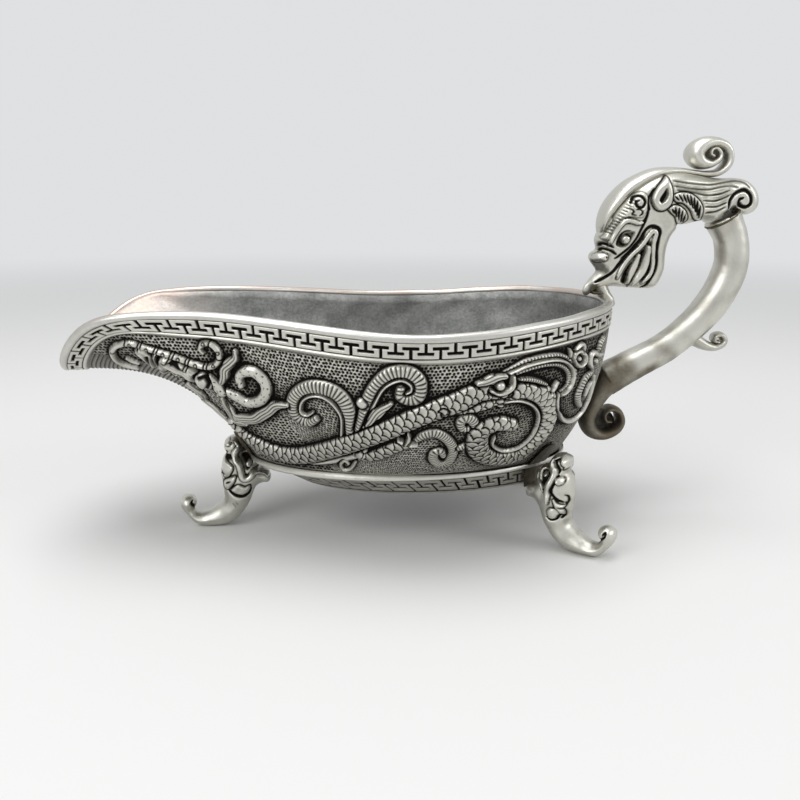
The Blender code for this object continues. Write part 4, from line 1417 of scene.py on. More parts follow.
def draw_on(casting, kind, path, half, height):
    """Draw a band, groove or bead along a path of places."""
    margin = 2 * half + draw_margin
    around = (casting.points > path.min(axis=0) - margin) & (casting.points < path.max(axis=0) + margin)
    near = np.where(np.all(around, axis=1) & (casting.distance > 0))[0]
    if len(near) == 0:
        return
    gap, along, length = path_gap(casting.points[near], path)
    relief, shade = casting.relief[near], casting.shade[near]
    # Relief needs many small faces of equal size. A displaced grid could be used, but it would crowd them at
    # the spout. Here the columns stand evenly along the rim, the rows know how far they lie below the lip,
    # and each point of the mesh can carry its patina and painted shade. A soft average later tells which
    # spots a cloth would rub.
    ends = np.minimum(along, length - along)
    taper = np.clip(band_ends + (1 - band_ends) * ends / (3 * half), band_ends, 1.0)
    local = half if kind == "bead" else half * taper
    u = gap / local
    if kind == "groove":
        casting.relief[near] = relief - height * np.exp(-(u * 0.9) ** 4) * (relief > -2 * height)
        casting.shade[near] = np.maximum(shade, min(1.0, 2.4 * height) * np.exp(-(u * 0.85) ** 4))
        return
    dome = np.sqrt(np.clip(1 - np.clip(u, 0, 1) ** 2.4, 0, 1))
    relief = np.where(u < 1, np.maximum(relief, 0) * 0.3 + height * dome, relief)
    shade = np.where(u < 1, 0.0, shade)
    beside = (gap >= local) & (gap < local + moat)
    fade = np.clip(1 - (gap - local) / moat, 0, 1)
    casting.relief[near] = np.where(beside, relief - 0.25 * fade, relief)
    casting.shade[near] = np.where(beside, np.maximum(shade, 0.95 * fade), shade)


print("bands, grooves and beads can be drawn")

# %% Sunk and raised areas
sink_slope = 0.5
raise_slope = 0.8


def sink_area(casting, outline, depth, dark):
    """Press an area into the surface."""
    distance, _ = edge_distance(casting.points, outline)
    share = np.clip(distance / sink_slope, 0, 1)
    casting.relief -= depth * share
    casting.shade = np.maximum(casting.shade, dark * share)


def raise_area(casting, outline, height, dark):
    """Lift an area out of the surface, with a dark line around it."""
    distance, _ = edge_distance(casting.points, outline)
    casting.relief += height * np.sqrt(np.clip(1 - (1 - np.clip(distance / raise_slope, 0, 1)) ** 2, 0, 1))
    line = np.exp(-((distance + 0.12) / 0.16) ** 2)
    casting.relief -= 0.22 * line
    casting.shade = np.maximum(casting.shade, dark * line)


print("areas sink over", sink_slope, "mm and rise over", raise_slope, "mm")

# %% [markdown]
# ## From a casting to a mesh
# Two height fields back to back make a closed shell, but its faces stretch at the edge. A voxel
# remesh gives even faces, and a light smoothing takes off the steps. Hollows are then measured and
# darkened, as the stain would lie in them.

# %% Casting to mesh
thinnest = 0.06
rim_blend = 0.5


def casting_shell(casting, name):
    """A closed shell: the height field to both sides, sewn together along the outline."""
    rows, cols = len(casting.b), len(casting.a)
    inside = (casting.distance > 0).reshape(rows, cols)
    grown = np.pad(inside, 1)
    beside = np.zeros_like(inside)
    for down in (0, 1, 2):
        for across in (0, 1, 2):
            beside |= grown[down:down + rows, across:across + cols]
    edge, used = (beside & ~inside).ravel(), np.where(beside.ravel())[0]
    inner = np.where(inside.ravel())[0]
    thick = np.maximum(casting.swell + casting.relief * np.clip(casting.distance / rim_blend, 0, 1), thinnest)
    spots = np.where(edge[:, None], casting.nearest, casting.points)
    first = np.full(rows * cols, -1)
    first[used] = np.arange(len(used))
    second = first.copy()
    second[inner] = len(used) + np.arange(len(inner))
    lower = np.stack([spots[used, 0], np.where(edge[used], 0.0, -thick[used]), spots[used, 1]], axis=1)
    upper = np.stack([spots[inner, 0], thick[inner], spots[inner, 1]], axis=1)
    index = np.arange(rows * cols).reshape(rows, cols)
    quads = np.stack([index[:-1, :-1], index[:-1, 1:], index[1:, 1:], index[1:, :-1]], axis=-1).reshape(-1, 4)
    quads = quads[np.all(beside.ravel()[quads], axis=1) & np.any(inside.ravel()[quads], axis=1)]
    return mesh_of(name, np.vstack([lower, upper]), np.vstack([first[quads], second[quads][:, ::-1]]))


print("castings are at least", 2 * thinnest, "mm thick")

# %% Even faces
side_blend = 1.2


def remeshed(name, data, voxel):
    """The shell in even small faces, slightly relaxed."""
    piece = link_object(name, data)
    even = piece.modifiers.new("remesh", 'REMESH')
    even.mode = 'VOXEL'
    even.voxel_size = voxel * MM
    relax = piece.modifiers.new("relax", 'SMOOTH')
    relax.factor = 0.4
    relax.iterations = 1
    state = piece.evaluated_get(bpy.context.evaluated_depsgraph_get())
    result = bpy.data.meshes.new_from_object(state)
    bpy.data.objects.remove(piece, do_unlink=True)
    return result


def places_of(data):
    """The points of a mesh, in millimetres."""
    co = np.empty(len(data.vertices) * 3, dtype=np.float32)
    data.vertices.foreach_get("co", co)
    return co.reshape(-1, 3).astype(float) / MM


def cast_mesh(casting, name, place, voxel):
    """The casting as a closed mesh. The place turns local a, side, b into millimetres of the cup."""
    result = remeshed(name, casting_shell(casting, name), voxel)
    local = places_of(result)
    dark = casting.look_up(casting.shade, local[:, [0, 2]])
    side = np.clip(np.abs(local[:, 1]) / side_blend, 0, 1)
    result.vertices.foreach_set("co", (place(local) * MM).astype(np.float32).ravel())
    result.update()
    result.shade_smooth()
    set_value(result, "patina_and_shade", 0.09 + 0.9 * dark * side + 1.2 * hollows(result))
    return result


def hollows(data, rounds=14, strength=1.6):
    """How deep each point lies below its softened surroundings."""
    count = len(data.vertices)
    co = places_of(data)
    normal = np.empty(count * 3, dtype=np.float32)
    data.vertices.foreach_get("normal", normal)
    normal = normal.reshape(-1, 3)
    edges = np.empty(len(data.edges) * 2, dtype=np.int32)
    data.edges.foreach_get("vertices", edges)
    edges = edges.reshape(-1, 2)
    degree = np.bincount(edges.ravel(), minlength=count).clip(1)[:, None]
    soft_co = co.copy()
    for _ in range(rounds):
        total = np.zeros_like(soft_co)
        for axis in range(3):
            total[:, axis] = (np.bincount(edges[:, 0], soft_co[edges[:, 1], axis], count)
                              + np.bincount(edges[:, 1], soft_co[edges[:, 0], axis], count))
        soft_co = total / degree
    depth = np.sum((soft_co - co) * normal, axis=1)
    return np.clip(depth * strength, -0.15, 0.7)


print("the dark of a line fades within", side_blend, "mm of the middle")

# %% [markdown]
# ## Where a casting stands
# Each leg stands at its own turn around the bowl. It could be modelled in place, but a casting is
# easier to draw flat. A placement carries the flat drawing to the cup and carries pixels back to
# its plane.

# %% Where a casting stands
class Placement:
    """Where a casting stands: a spot on the floor plan and the heading of its plane."""

    def __init__(self, x, y, heading):
        self.spot = np.array([x, y, 0.0])
        self.ahead = np.array([math.cos(heading), math.sin(heading), 0.0])
        self.side = np.array([-math.sin(heading), math.cos(heading), 0.0])
        self.near = math.copysign(1.0, (camera_place - self.spot) @ self.side)

    def to_cup(self, local):
        up = np.array([0, 0, 1.0])
        return self.spot + local[:, :1] * self.ahead + local[:, 1:2] * self.side + local[:, 2:] * up

    def seen_at(self, pixels, level):
        """Places in the plane, at a level to its side, that appear at these pixels."""
        pixels = np.asarray(pixels, dtype=float)
        ray = (view_forward + (pixels[:, :1] - image_side / 2) / focal_pixels * view_right
               - (pixels[:, 1:] - image_side / 2) / focal_pixels * view_up)
        start = camera_place - self.spot
        reach = (level - start @ self.side) / (ray @ self.side)
        hit = start + ray * reach[:, None]
        return np.stack([hit @ self.ahead, hit[:, 2]], axis=1)

    def seen_on(self, casting, pixels):
        """Places on the near face of a casting that appear at these pixels."""
        spots = self.seen_at(pixels, 0.0)
        for _ in range(8):
            level = self.near * casting.look_up(casting.swell, spots)
            spots = self.seen_at(pixels, level)
        return spots


def in_picture(points, origin, enlargement):
    """Pixels of the photograph, from points measured in an enlarged view of it."""
    return np.array(origin, dtype=float) + np.array(points, dtype=float) / enlargement


print("castings stand in planes that the camera sees")

# %% [markdown]
# ## Outline of the dragon's head
# The head bites the rim with its beak and sweeps back into the mane. Its outline could be drawn
# freely. It is traced in an enlarged view of the photograph, because faults in a contour show
# first.

# %% Outline of the head
head_origin = (575, 130)
head_enlargement = 6.0
head_outline = (
    (150, 590), (178, 520), (226, 446), (288, 376), (362, 316), (438, 276), (515, 252), (600, 246),
    (700, 262), (800, 284), (880, 288), (960, 288), (1020, 302), (1068, 342), (1092, 400), (1086, 455),
    (1055, 494), (1010, 508), (960, 494), (925, 480), (870, 520), (800, 560), (770, 545), (735, 545),
    (690, 555), (640, 566), (598, 566), (586, 600), (556, 640), (538, 690), (528, 750), (522, 830),
    (502, 890), (470, 936), (430, 948), (380, 948), (330, 944), (285, 942), (255, 940), (215, 938),
    (185, 940), (150, 948), (105, 970), (65, 994), (44, 978), (50, 938), (88, 888), (124, 845),
    (104, 808), (86, 775), (98, 732), (124, 712), (118, 660), (130, 620))
head_widths = (
    (560, 400, 5.4), (400, 450, 5.2), (300, 550, 4.9), (220, 690, 3.9), (140, 765, 2.9),
    (60, 970, 0.9), (150, 885, 2.2), (230, 830, 2.9), (490, 620, 4.4), (480, 750, 3.9),
    (430, 910, 3.1), (300, 900, 2.6), (700, 420, 4.9), (850, 390, 4.0), (1010, 420, 2.6),
    (800, 520, 4.4))
print(len(head_outline), "points around the head")

# %% [markdown]
# ## Carving of the head
# Brow, eye, spiral, ear, gills, lips, tongue and mane are cut into the casting. They could be
# sculpted, but a listed line can be moved without touching the rest, and ribs and hatching come in
# rows.

# %% Carving of the head
head_areas = (
    ("sink", 1.0, (
        (272, 905), (300, 835), (350, 772), (405, 715), (445, 655), (462, 690), (455, 760), (450, 830),
        (415, 890), (355, 930), (300, 930))),
    ("hollow", 0.55, (
        (244, 688), (268, 642), (306, 610), (352, 604), (366, 618), (345, 662), (314, 700), (272, 708))),
    ("lift", 0.35, (
        (150, 640), (176, 585), (226, 508), (286, 436), (346, 386), (400, 372), (436, 398), (444, 462),
        (424, 518), (396, 548), (352, 532), (318, 524), (276, 556), (238, 610), (206, 664))),
    ("raise", 0.9, (
        (548, 276), (580, 338), (587, 400), (572, 452), (530, 484), (488, 478), (462, 442), (463, 398),
        (488, 350), (520, 308))),
    ("sink", 1.0, ((548, 340), (558, 390), (537, 432), (510, 443), (497, 416), (520, 378))),
    ("raise", 0.55, (
        (592, 395), (640, 374), (700, 384), (750, 428), (768, 480), (748, 540), (712, 530), (690, 480),
        (650, 440), (606, 430))),
    ("raise", 0.5, (
        (560, 470), (610, 450), (660, 482), (674, 530), (640, 560), (612, 560), (600, 520), (575, 495))),
)
head_strokes = (
    ("lip_line", "groove", 9, 0.45, (
        (122, 915), (180, 885), (230, 850), (265, 805), (300, 762), (345, 715), (400, 652), (425, 602),
        (460, 578), (500, 588), (513, 615), (502, 660), (492, 720), (490, 800), (470, 865), (430, 925),
        (395, 942))),
    ("cheek_line", "groove", 8, 0.40, (
        (240, 770), (262, 758), (330, 704), (372, 650), (400, 595), (424, 545), (440, 490), (440, 440))),
    ("cheek_line_low", "groove", 6, 0.30, ((275, 770), (335, 722), (385, 660), (412, 610))),
    ("lip_band", "band", 13, 0.35, (
        (252, 890), (290, 815), (340, 752), (400, 695), (440, 640), (470, 607), (488, 622), (476, 670),
        (468, 740), (466, 810), (446, 872), (400, 918))),
    ("tongue_fold", "band", 20, 0.8, ((380, 752), (356, 812), (330, 868), (312, 915))),
    ("tongue", "band", 26, 1.1, ((436, 705), (428, 765), (404, 836), (366, 892), (330, 932))),
    ("tongue_line", "groove", 7, 0.35, ((448, 740), (444, 800), (420, 862), (384, 905))),
    ("brow_frame", "band", 13, 0.6, (
        (204, 690), (236, 628), (268, 580), (300, 549), (340, 546), (382, 560), (404, 556))),
    ("brow_frame_line", "groove", 4, 0.2, (
        (186, 664), (222, 597), (258, 552), (286, 530), (340, 522), (400, 526), (428, 490))),
    ("eye", "bead", 24, 0.95, ((299, 657), (303, 659))),
    ("eye_line", "groove", 6, 0.3, ((250, 690), (268, 640), (300, 610), (335, 606))),
    ("spiral", "groove", 8, 0.42, (
        (332, 440), (350, 402), (395, 398), (420, 432), (402, 464), (372, 458), (366, 432), (384, 424))),
    ("brow_mark_one", "groove", 6, 0.3, ((330, 470), (352, 490), (340, 505), (366, 512))),
    ("brow_mark_two", "groove", 6, 0.3, ((366, 478), (392, 478), (404, 500), (384, 515))),
    ("nose", "band", 46, 1.1, ((134, 766), (152, 762), (170, 762))),
    ("nostril", "groove", 9, 0.5, ((181, 762), (186, 766))),
    ("nose_fold", "groove", 8, 0.4, ((128, 690), (160, 680), (200, 690), (232, 706))),
    ("nose_fold_low", "groove", 7, 0.4, ((128, 716), (170, 712), (215, 725), (248, 748))),
    ("ear_line", "groove", 6, 0.35, ((452, 480), (440, 440), (448, 400), (475, 352))),
    ("mane_one", "groove", 6, 0.26, (
        (592, 305), (700, 322), (810, 328), (890, 316), (960, 306), (1020, 318), (1052, 350))),
    ("mane_two", "groove", 6, 0.26, (
        (596, 335), (700, 352), (800, 358), (880, 342), (940, 336), (985, 345))),
    ("mane_three", "groove", 6, 0.26, ((610, 360), (700, 372), (790, 392), (870, 384), (930, 362))),
    ("mane_four", "groove", 6, 0.26, ((770, 424), (840, 426), (905, 404), (940, 384))),
    ("mane_five", "groove", 6, 0.26, ((782, 462), (850, 460), (910, 436))),
    ("mane_six", "groove", 6, 0.26, ((784, 498), (850, 488), (905, 462))),
    ("mane_fine_one", "groove", 4, 0.14, ((594, 320), (700, 337), (810, 343), (890, 330), (950, 322))),
    ("mane_fine_two", "groove", 4, 0.14, ((604, 348), (700, 362), (795, 375), (875, 362), (935, 348))),
    ("mane_fine_three", "groove", 4, 0.14, ((760, 405), (850, 408), (920, 384))),
    ("mane_fine_four", "groove", 4, 0.14, ((778, 443), (850, 443), (912, 420))),
    ("curl_outer", "groove", 10, 0.6, (
        (925, 470), (936, 420), (968, 378), (1020, 360), (1056, 392), (1058, 440), (1026, 462),
        (990, 450), (988, 420), (1012, 408))),
)
gill_ribs = (
    ((600, 400), (622, 422)), ((622, 392), (646, 428)), ((646, 388), (668, 436)),
    ((668, 390), (688, 450)), ((690, 394), (704, 470)), ((712, 404), (718, 492)),
    ((732, 424), (728, 512)), ((748, 456), (738, 526)), ((580, 476), (596, 500)),
    ((600, 466), (608, 520)), ((622, 470), (620, 540)), ((642, 486), (632, 552)),
    ((658, 508), (646, 552)))
brow_hatch = tuple(((172 + 13 * i, 606 - 16 * i), (214 + 13 * i, 622 - 16 * i)) for i in range(13))

print(len(head_areas), "areas,", len(head_strokes), "strokes,", len(gill_ribs), "ribs on the head")

# %% [markdown]
# ## The dragon head
# The head is one casting, soldered to the rim and to the stem. It could be sculpted from a ball.
# The swelled outline keeps closer to the profile of the photograph.

# %% Dragon head
head_rounding = 2.7
head_voxel = 0.17
area_tones = {"sink": 0.6, "hollow": 0.55, "raise": 0.95, "lift": 0.6}


def local_outline(placement, points, origin, enlargement, casting=None):
    pixels = closed_spline(in_picture(points, origin, enlargement), 6)
    return placement.seen_at(pixels, 0.0) if casting is None else placement.seen_on(casting, pixels)


def draw_all(casting, placement, drawing, origin, enlargement):
    """Draw a set of named strokes. A width in it is half a stroke's, in the enlarged view."""
    for _, kind, half, height, points in drawing:
        pixels = spline(in_picture(points, origin, enlargement), 8)
        draw_on(casting, kind, placement.seen_on(casting, pixels), half / enlargement * pixel_size, height)


def shape_areas(casting, placement, areas, tones, origin, enlargement):
    """Sink and raise a set of areas. A tone is how dark a sunk area, or the line round a raised one, is."""
    for kind, amount, points in areas:
        area = local_outline(placement, points, origin, enlargement, casting)
        change = sink_area if kind in ("sink", "hollow") else raise_area
        change(casting, area, amount, tones[kind])


def make_head():
    stand = Placement(0.0, 0.0, 0.0)
    view = (head_origin, head_enlargement)
    outline = local_outline(stand, head_outline, *view)
    spots = stand.seen_at(in_picture([w[:2] for w in head_widths], *view), 0.0)
    controls = [(a, b, w[2]) for (a, b), w in zip(spots, head_widths)]
    head = Casting(outline, controls, head_rounding)
    shape_areas(head, stand, head_areas, area_tones, *view)
    draw_all(head, stand, head_strokes, *view)
    draw_all(head, stand, [("rib", "groove", 7, 0.4, rib) for rib in gill_ribs], *view)
    draw_all(head, stand, [("hatch", "groove", 4, 0.3, line) for line in brow_hatch], *view)
    data = cast_mesh(head, "head", stand.to_cup, head_voxel)
    dress("head", data, cast_metal, "dragon_head")
    print("head", len(data.vertices))


make_head()

# %% [markdown]
# ## Bars of the handle
# The crest lies over the forehead and ends in a fat coil. The stem curves down to a scroll, and a
# spur curls off it. Blender can bevel a curve for such bars. An own sweep is used, because the
# thickness seen from the side and the width across change separately along them.

# %% Swept bars
def bar_mesh(name, stations, steps, sides, flat_start=False, flat_end=False, lump=0.0):
    """A rounded bar. Each station is x, y, z, its half height across the curve and its half width."""
    curve = spline(stations, steps)
    path = curve[:, :3]
    tangent = unit(np.gradient(path, axis=0))
    side = unit(np.array([0.0, 1.0, 0.0]) - tangent * tangent[:, 1:2])
    across = np.cross(side, tangent)
    angle = np.arange(sides) * 2 * math.pi / sides
    arc = arc_of(path)
    rings = []

    def ring(i, scale, shift):
        waves = np.sin(arc[i] * 0.9 + 2 * np.sin(angle * 2)) * 0.6 + np.sin(arc[i] * 2.3 + angle * 3) * 0.4
        rough = 1 + lump * waves
        spread = (np.outer(np.cos(angle) * rough * curve[i, 3], across[i])
                  + np.outer(np.sin(angle) * rough * curve[i, 4], side[i]))
        return path[i] + tangent[i] * shift + spread * scale

    dome = np.radians((12, 28, 44, 60, 75, 88))
    if not flat_start:
        depth = min(curve[0, 3], curve[0, 4])
        rings += [ring(0, math.cos(d), -depth * math.sin(d)) for d in dome[::-1]]
    rings += [ring(i, 1.0, 0.0) for i in range(len(path))]
    if not flat_end:
        depth = min(curve[-1, 3], curve[-1, 4])
        rings += [ring(-1, math.cos(d), depth * math.sin(d)) for d in dome]
    return mesh_grid(name, np.array(rings), closed=True, start_cap=True, end_cap=True)


def stations_seen(points, origin, enlargement, widths):
    """Stations in the middle plane from pixels: each point gives its place and its half height."""
    stand = Placement(0.0, 0.0, 0.0)
    spots = stand.seen_at(in_picture([p[:2] for p in points], origin, enlargement), 0.0)
    size = pixel_size / enlargement
    return [(x, 0.0, z, p[2] * size, w) for (x, z), p, w in zip(spots, points, widths)]


print("bars ready")

# %% Curves of the handle
crest_points = (
    (148, 628, 13), (158, 565, 26), (188, 492, 38), (238, 420, 43), (306, 352, 43), (384, 302, 40),
    (465, 266, 35), (545, 250, 27), (620, 247, 21), (700, 256, 18), (775, 264, 19), (850, 255, 22),
    (902, 210, 26), (914, 150, 27), (888, 98, 30), (828, 74, 32), (760, 90, 44), (714, 140, 54),
    (738, 190, 43), (796, 203, 27), (842, 178, 21), (852, 140, 17), (828, 112, 14), (800, 120, 13),
    (792, 145, 12), (808, 158, 10))
crest_half_widths = (
    1.6, 2.6, 3.3, 3.7, 3.8, 3.7, 3.4, 3.0, 2.6, 2.3, 2.2, 2.2, 2.4, 2.5, 2.6, 2.7, 3.0, 3.2, 3.0, 2.7,
    2.5, 2.4, 2.5, 2.6, 2.6, 2.6)
handle_datum = 44.5
stem_offsets = (
    (23.4, 16.6), (25.6, 12.4), (26.4, 7.6), (25.6, 3.3), (23.0, -2.0), (18.8, -7.0), (12.8, -12.0),
    (5.5, -15.9), (-0.6, -19.2))
stem_radii = (3.9, 3.6, 3.65, 3.7, 3.65, 3.45, 3.4, 3.55, 3.9)
foot_scroll_points = (
    (626, 367.5, 13.2), (613, 375, 14.4), (600.5, 387, 12.6), (591.5, 402, 10.2), (586, 416.9, 8.4),
    (590, 429.3, 7.4), (601.2, 433.2, 5.8), (613, 428.6, 5.0), (619, 420.2, 4.5), (616.8, 410.8, 3.9),
    (608.8, 407.6, 3.1), (602.6, 412.6, 2.7), (603.6, 419, 2.5), (608.4, 419.8, 2.3))
foot_scroll_half_widths = (3.3, 3.9, 3.9, 3.6, 3.4, 3.3, 3.2, 3.1, 2.9, 2.7, 2.5, 2.4, 2.4, 2.3)
spur_points = (
    (688, 335, 7.0), (697, 341, 6.4), (704.5, 345, 5.2), (712.5, 346.6, 4.2), (719.6, 344.4, 3.7),
    (723, 339.4, 3.3), (719.6, 334.4, 3.0), (714, 335.8, 2.6), (713, 340.4, 2.2), (716.8, 341.4, 1.8))
spur_half_widths = (2.3, 2.3, 2.2, 2.0, 1.9, 1.8, 1.8, 1.7, 1.6, 1.6)
fang_points = (
    (598.5, 284.5, 5.6), (601.5, 289, 6.0), (605, 294.5, 5.6), (608.5, 299.5, 5.0), (610.5, 303, 4.0))
fang_half_widths = (1.2, 1.5, 1.7, 1.9, 1.6)
print(len(crest_points), "stations on the crest,", len(stem_offsets), "on the stem")

# %% [markdown]
# ## Handle
# These pieces are soldered to one another on the real cup, so they stay separate here. The coils
# could stay open, but a thin dished web, dark as a painted shadow, closes their middles, and the
# stem is stained brown towards its foot, where fingers don't polish it.

# %% Crest, stem, scroll, spur and fang
stem_stain = 1.25
stain_height = 39.0
stain_blur = 10.0
web_sides = 48
web_steps = ((0.02, 0.55), (0.5, 0.6), (1.0, 1.0), (1.0, -1.0), (0.5, -0.6), (0.02, -0.55))
whole_photo = ((0, 0), 1.0)
crest_coil = (806, 142)
scroll_coil = (600, 421)


def finish_bar(name, data, node, base, strength=1.0, stain=0.0, stain_top=0.0):
    """Dress a bar. A stain darkens it below a height, unevenly."""
    x, y, z = places_of(data).T
    blotch = (np.sin(x * 0.55 + 2.1 * np.sin(z * 0.31))
              * np.sin(z * 0.47 + 1.7 * np.sin(y * 0.6 + x * 0.23)))
    low = ease((stain_top - z + 3.5 * blotch) / stain_blur)
    share = stain * np.clip(0.10 + 0.14 * blotch * (1 - low) + 0.9 * low, 0, 1)
    set_value(data, "patina_and_shade", base + hollows(data, 10, strength) + 0.45 * share)
    set_value(data, "tint", share)
    dress(name, data, cast_metal, node)
    print(name, len(data.vertices))


def shadow_web_mesh(name, centre, radius, half_width):
    """A dished disc that closes the middle of a coil, shown dark as a painted shadow in its hollow."""
    angle = np.arange(web_sides) * 2 * math.pi / web_sides
    rings = []
    for share, level in web_steps:
        rings.append(np.stack([centre[0] + radius * share * np.cos(angle),
                               np.full(web_sides, level * half_width),
                               centre[1] + radius * share * np.sin(angle)], axis=1))
    return mesh_grid(name, np.array(rings), closed=True, start_cap=True, end_cap=True)


def make_bars():
    middle = Placement(0.0, 0.0, 0.0)
    head_view = (head_origin, head_enlargement)
    crest = bar_mesh("crest", stations_seen(crest_points, *head_view, crest_half_widths), 8, 28)
    finish_bar("crest", crest, "head_crest", 0.12)
    coil = middle.seen_at(in_picture([crest_coil], *head_view), 0.0)[0]
    # Painted shadow: the crest's web is dark, as the hollow of the open coil would be in shade.
    finish_bar("crest_shadow_web", shadow_web_mesh("crest_shadow_web", coil, 2.6, 1.5), "head_crest", 0.8)
    stem = [(handle_datum + x, 0.0, rim_back_height + z, r, r) for (x, z), r in zip(stem_offsets, stem_radii)]
    stem = bar_mesh("stem", stem, 14, 40, flat_start=True, flat_end=True, lump=0.008)
    finish_bar("stem", stem, "handle_stem", 0.12, 1.0, stem_stain, stain_height)
    scroll = stations_seen(foot_scroll_points, *whole_photo, foot_scroll_half_widths)
    scroll = bar_mesh("foot_scroll", scroll, 10, 26)
    finish_bar("foot_scroll", scroll, "handle_stem", 0.12, 1.8, stem_stain, stain_height)
    coil = middle.seen_at([scroll_coil], 0.0)[0]
    # Painted shadow: the scroll's web is nearly black, as the hollow of the open coil would be in shade.
    finish_bar("foot_shadow_web", shadow_web_mesh("foot_shadow_web", coil, 3.0, 0.9), "handle_stem", 0.95)
    spur = bar_mesh("spur", stations_seen(spur_points, *whole_photo, spur_half_widths), 8, 22)
    finish_bar("spur", spur, "handle_spur", 0.34, 1.8)
    fang = bar_mesh("fang", stations_seen(fang_points, *whole_photo, fang_half_widths), 8, 20, lump=0.05)
    finish_bar("fang", fang, "dragon_head", 0.25)


make_bars()

# %% [markdown]
# ## Front leg
# A mask with a ribbon over it stands on a shin, and the foot rolls up at the toe. It could be
# sculpted, but it was cast like the head, so an outline, areas and lines make it too.

# %% Front leg
leg_origin = (170, 425)
leg_enlargement = 9.0
leg_outline = (
    (490, 150), (502, 112), (550, 82), (612, 86), (655, 125), (672, 180), (730, 190), (800, 260),
    (812, 340), (860, 372), (900, 400), (908, 445), (890, 488), (835, 495), (782, 522), (752, 580),
    (732, 640), (700, 702), (650, 772), (590, 832), (500, 882), (400, 899), (300, 894), (238, 870),
    (178, 812), (120, 742), (94, 682), (108, 632), (150, 608), (202, 612), (238, 648), (240, 692),
    (222, 730), (250, 758), (300, 762), (370, 732), (440, 688), (490, 640), (488, 570), (478, 520),
    (472, 470), (462, 420), (463, 350), (480, 270), (508, 222), (488, 185))
leg_widths = (
    (600, 200, 3.0), (600, 330, 4.3), (520, 300, 3.8), (620, 450, 4.5), (480, 430, 3.0),
    (720, 400, 3.6), (860, 430, 2.2), (560, 540, 3.8), (640, 600, 3.9), (600, 720, 3.4),
    (450, 800, 2.9), (320, 830, 2.7), (200, 780, 2.5), (160, 660, 3.0), (780, 280, 2.8))
leg_areas = (
    ("sink", 1.1, (
        (642, 251), (675, 214), (732, 227), (757, 284), (749, 349), (708, 407), (675, 398), (659, 341),
        (634, 292))),
    ("raise", 0.6, (
        (511, 235), (470, 300), (462, 374), (475, 415), (487, 456), (507, 472), (536, 456), (566, 407),
        (566, 374), (544, 349), (511, 317), (499, 276))),
    ("raise", 0.6, (
        (487, 505), (503, 488), (544, 472), (585, 456), (593, 472), (581, 513), (552, 554), (520, 578),
        (491, 554))),
    ("raise", 0.5, (
        (552, 587), (610, 624), (667, 624), (714, 587), (720, 540), (675, 556), (610, 540))),
)
leg_strokes = (
    ("ribbon", "band", 29, 1.25, (
        (560, 122), (590, 106), (622, 132), (632, 180), (606, 218), (583, 256), (590, 304), (620, 350),
        (637, 407), (650, 456), (680, 482), (722, 466), (762, 417), (812, 394), (860, 406), (884, 446))),
    ("crown_curl", "bead", 32, 1.0, ((514, 150), (518, 152))),
    ("eye_hole", "groove", 36, 1.0, ((516, 289), (540, 293))),
    ("mouth", "groove", 9, 0.5, ((462, 428), (480, 432), (494, 438))),
    ("chin_mark", "groove", 8, 0.35, ((506, 520), (528, 512), (546, 506))),
    ("beard_line", "groove", 12, 0.6, (
        (528, 584), (556, 612), (604, 640), (656, 644), (706, 618), (732, 570))),
    ("back_bead", "bead", 24, 0.7, ((710, 350), (714, 338))),
    ("toe_curl", "groove", 13, 0.6, ((238, 738), (206, 728), (190, 706), (200, 684))),
    ("shin_mark", "groove", 5, 0.15, ((560, 700), (592, 740))),
    ("shin_mark_two", "groove", 5, 0.15, ((590, 690), (612, 722))),
)
print(len(leg_strokes), "strokes on the front leg")

# %% [markdown]
# ## Rear legs
# The rear legs come from the same mould as the front one, but the near one is seen turned. The
# front drawing could be copied. A drawing of its own follows what shows there, and the far leg
# repeats it.

# %% Rear legs
rear_origin = (530, 445)
rear_enlargement = 9.565
rear_areas = (
    ("sink", 0.7, ((110, 240), (160, 215), (195, 260), (190, 320), (150, 380), (120, 420), (100, 350))),
    ("raise", 0.7, (
        (296, 130), (320, 88), (380, 74), (425, 108), (432, 150), (400, 195), (340, 213), (300, 190))),
    ("raise", 0.55, (
        (215, 522), (260, 562), (320, 574), (366, 566), (380, 616), (350, 658), (290, 660), (250, 622),
        (226, 574))),
)
rear_strokes = (
    ("ribbon", "band", 30, 0.9, (
        (300, 104), (252, 104), (214, 148), (214, 204), (236, 254), (214, 316), (182, 374), (166, 440),
        (166, 500), (160, 552))),
    ("crown_line", "groove", 11, 0.6, ((300, 132), (258, 146), (252, 184), (280, 238), (276, 272))),
    ("brow_line", "groove", 10, 0.5, (
        (272, 292), (254, 334), (216, 392), (196, 440), (216, 490), (262, 532), (322, 550))),
    ("eye", "bead", 34, 0.7, ((284, 345), (286, 347))),
    ("nose_curl", "groove", 8, 0.4, ((332, 482), (362, 488), (376, 522), (360, 554), (338, 546))),
    ("chin_mark", "groove", 7, 0.35, ((262, 597), (322, 613))),
    ("chin_bead", "bead", 52, 0.6, ((212, 654), (216, 656))),
    ("chin_line", "groove", 10, 0.5, (
        (158, 690), (200, 716), (252, 706), (286, 668), (340, 666), (374, 632))),
    ("collar", "band", 16, 0.5, ((84, 250), (76, 310), (104, 380), (124, 440))),
    ("collar_bead", "bead", 22, 0.5, ((150, 276), (152, 278))),
    ("shin_edge", "groove", 5, 0.14, ((382, 692), (440, 790), (486, 846))),
    ("toe_curl", "groove", 10, 0.6, (
        (620, 905), (660, 916), (702, 892), (714, 852), (692, 866), (688, 884))),
)
print(len(rear_strokes), "strokes on each rear leg")

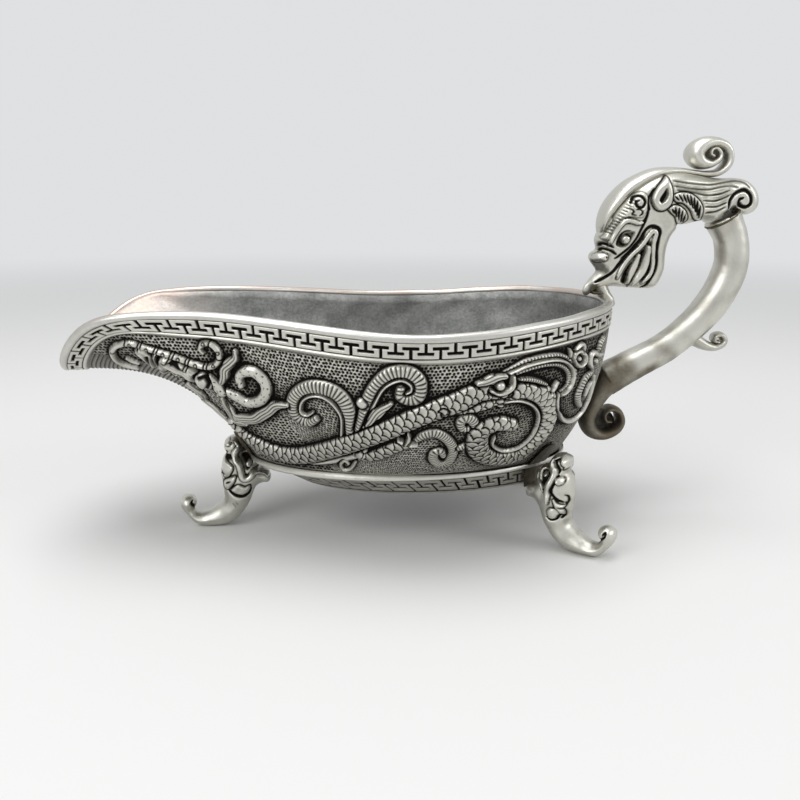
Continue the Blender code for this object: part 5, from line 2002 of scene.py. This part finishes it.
# %% [markdown]
# ## The three legs
# Each leg stands in its own plane, with its sole on the table. Three drawings could be made. One
# casting with the front drawing and one with the rear drawing are enough, turned to the place where
# each leg stands.

# %% Legs
leg_rounding = 2.9
leg_voxel = 0.15
leg_tones = {"sink": 0.9, "raise": 0.95}
heel_rounding = 1.0
leg_spots = {"front_leg": (-43.0, 0.0, math.pi),
             "right_rear_leg": (31.88, -20.53, -math.radians(40.7)),
             "left_rear_leg": (31.88, 20.53, math.radians(40.7))}


def rest_softly(outline):
    """Set an outline on the floor with a rounded heel and sole in place of a sharp cut."""
    level = (outline[:, 1] + np.hypot(outline[:, 1], heel_rounding)) / 2
    return np.stack([outline[:, 0], np.maximum(level - level.min(), 0.0)], axis=1)


def make_leg(stand, areas, drawing, view):
    """A leg casting, with its face drawn as seen from the camera."""
    front = Placement(*leg_spots["front_leg"])
    side_view = (leg_origin, leg_enlargement)
    outline = rest_softly(local_outline(front, leg_outline, *side_view))
    spots = front.seen_at(in_picture([w[:2] for w in leg_widths], *side_view), 0.0)
    leg = Casting(outline, [(a, b, w[2]) for (a, b), w in zip(spots, leg_widths)], leg_rounding)
    shape_areas(leg, stand, areas, leg_tones, *view)
    draw_all(leg, stand, drawing, *view)
    return leg


def make_legs():
    front = make_leg(Placement(*leg_spots["front_leg"]), leg_areas, leg_strokes,
                     (leg_origin, leg_enlargement))
    rear = make_leg(Placement(*leg_spots["right_rear_leg"]), rear_areas, rear_strokes,
                    (rear_origin, rear_enlargement))
    for name, spot in leg_spots.items():
        leg = front if name == "front_leg" else rear
        data = cast_mesh(leg, name + "_dressed", Placement(*spot).to_cup, leg_voxel)
        dress(name + "_dressed", data, cast_metal, name)
        print(name, len(data.vertices))


make_legs()

# %% [markdown]
# ## Solder seams
# Solder runs into the joints and sets as a dull, rough fillet. A fine mesh would add nothing to so
# small a seam, so the solid itself is shown in the solder finish.

# %% Solder seams
seams = sorted(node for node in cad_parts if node.endswith("_braze"))
for node in seams:
    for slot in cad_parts[node].material_slots:
        slot.link = 'OBJECT'
        slot.material = braze_metal
print(len(seams), "solder seams dressed")
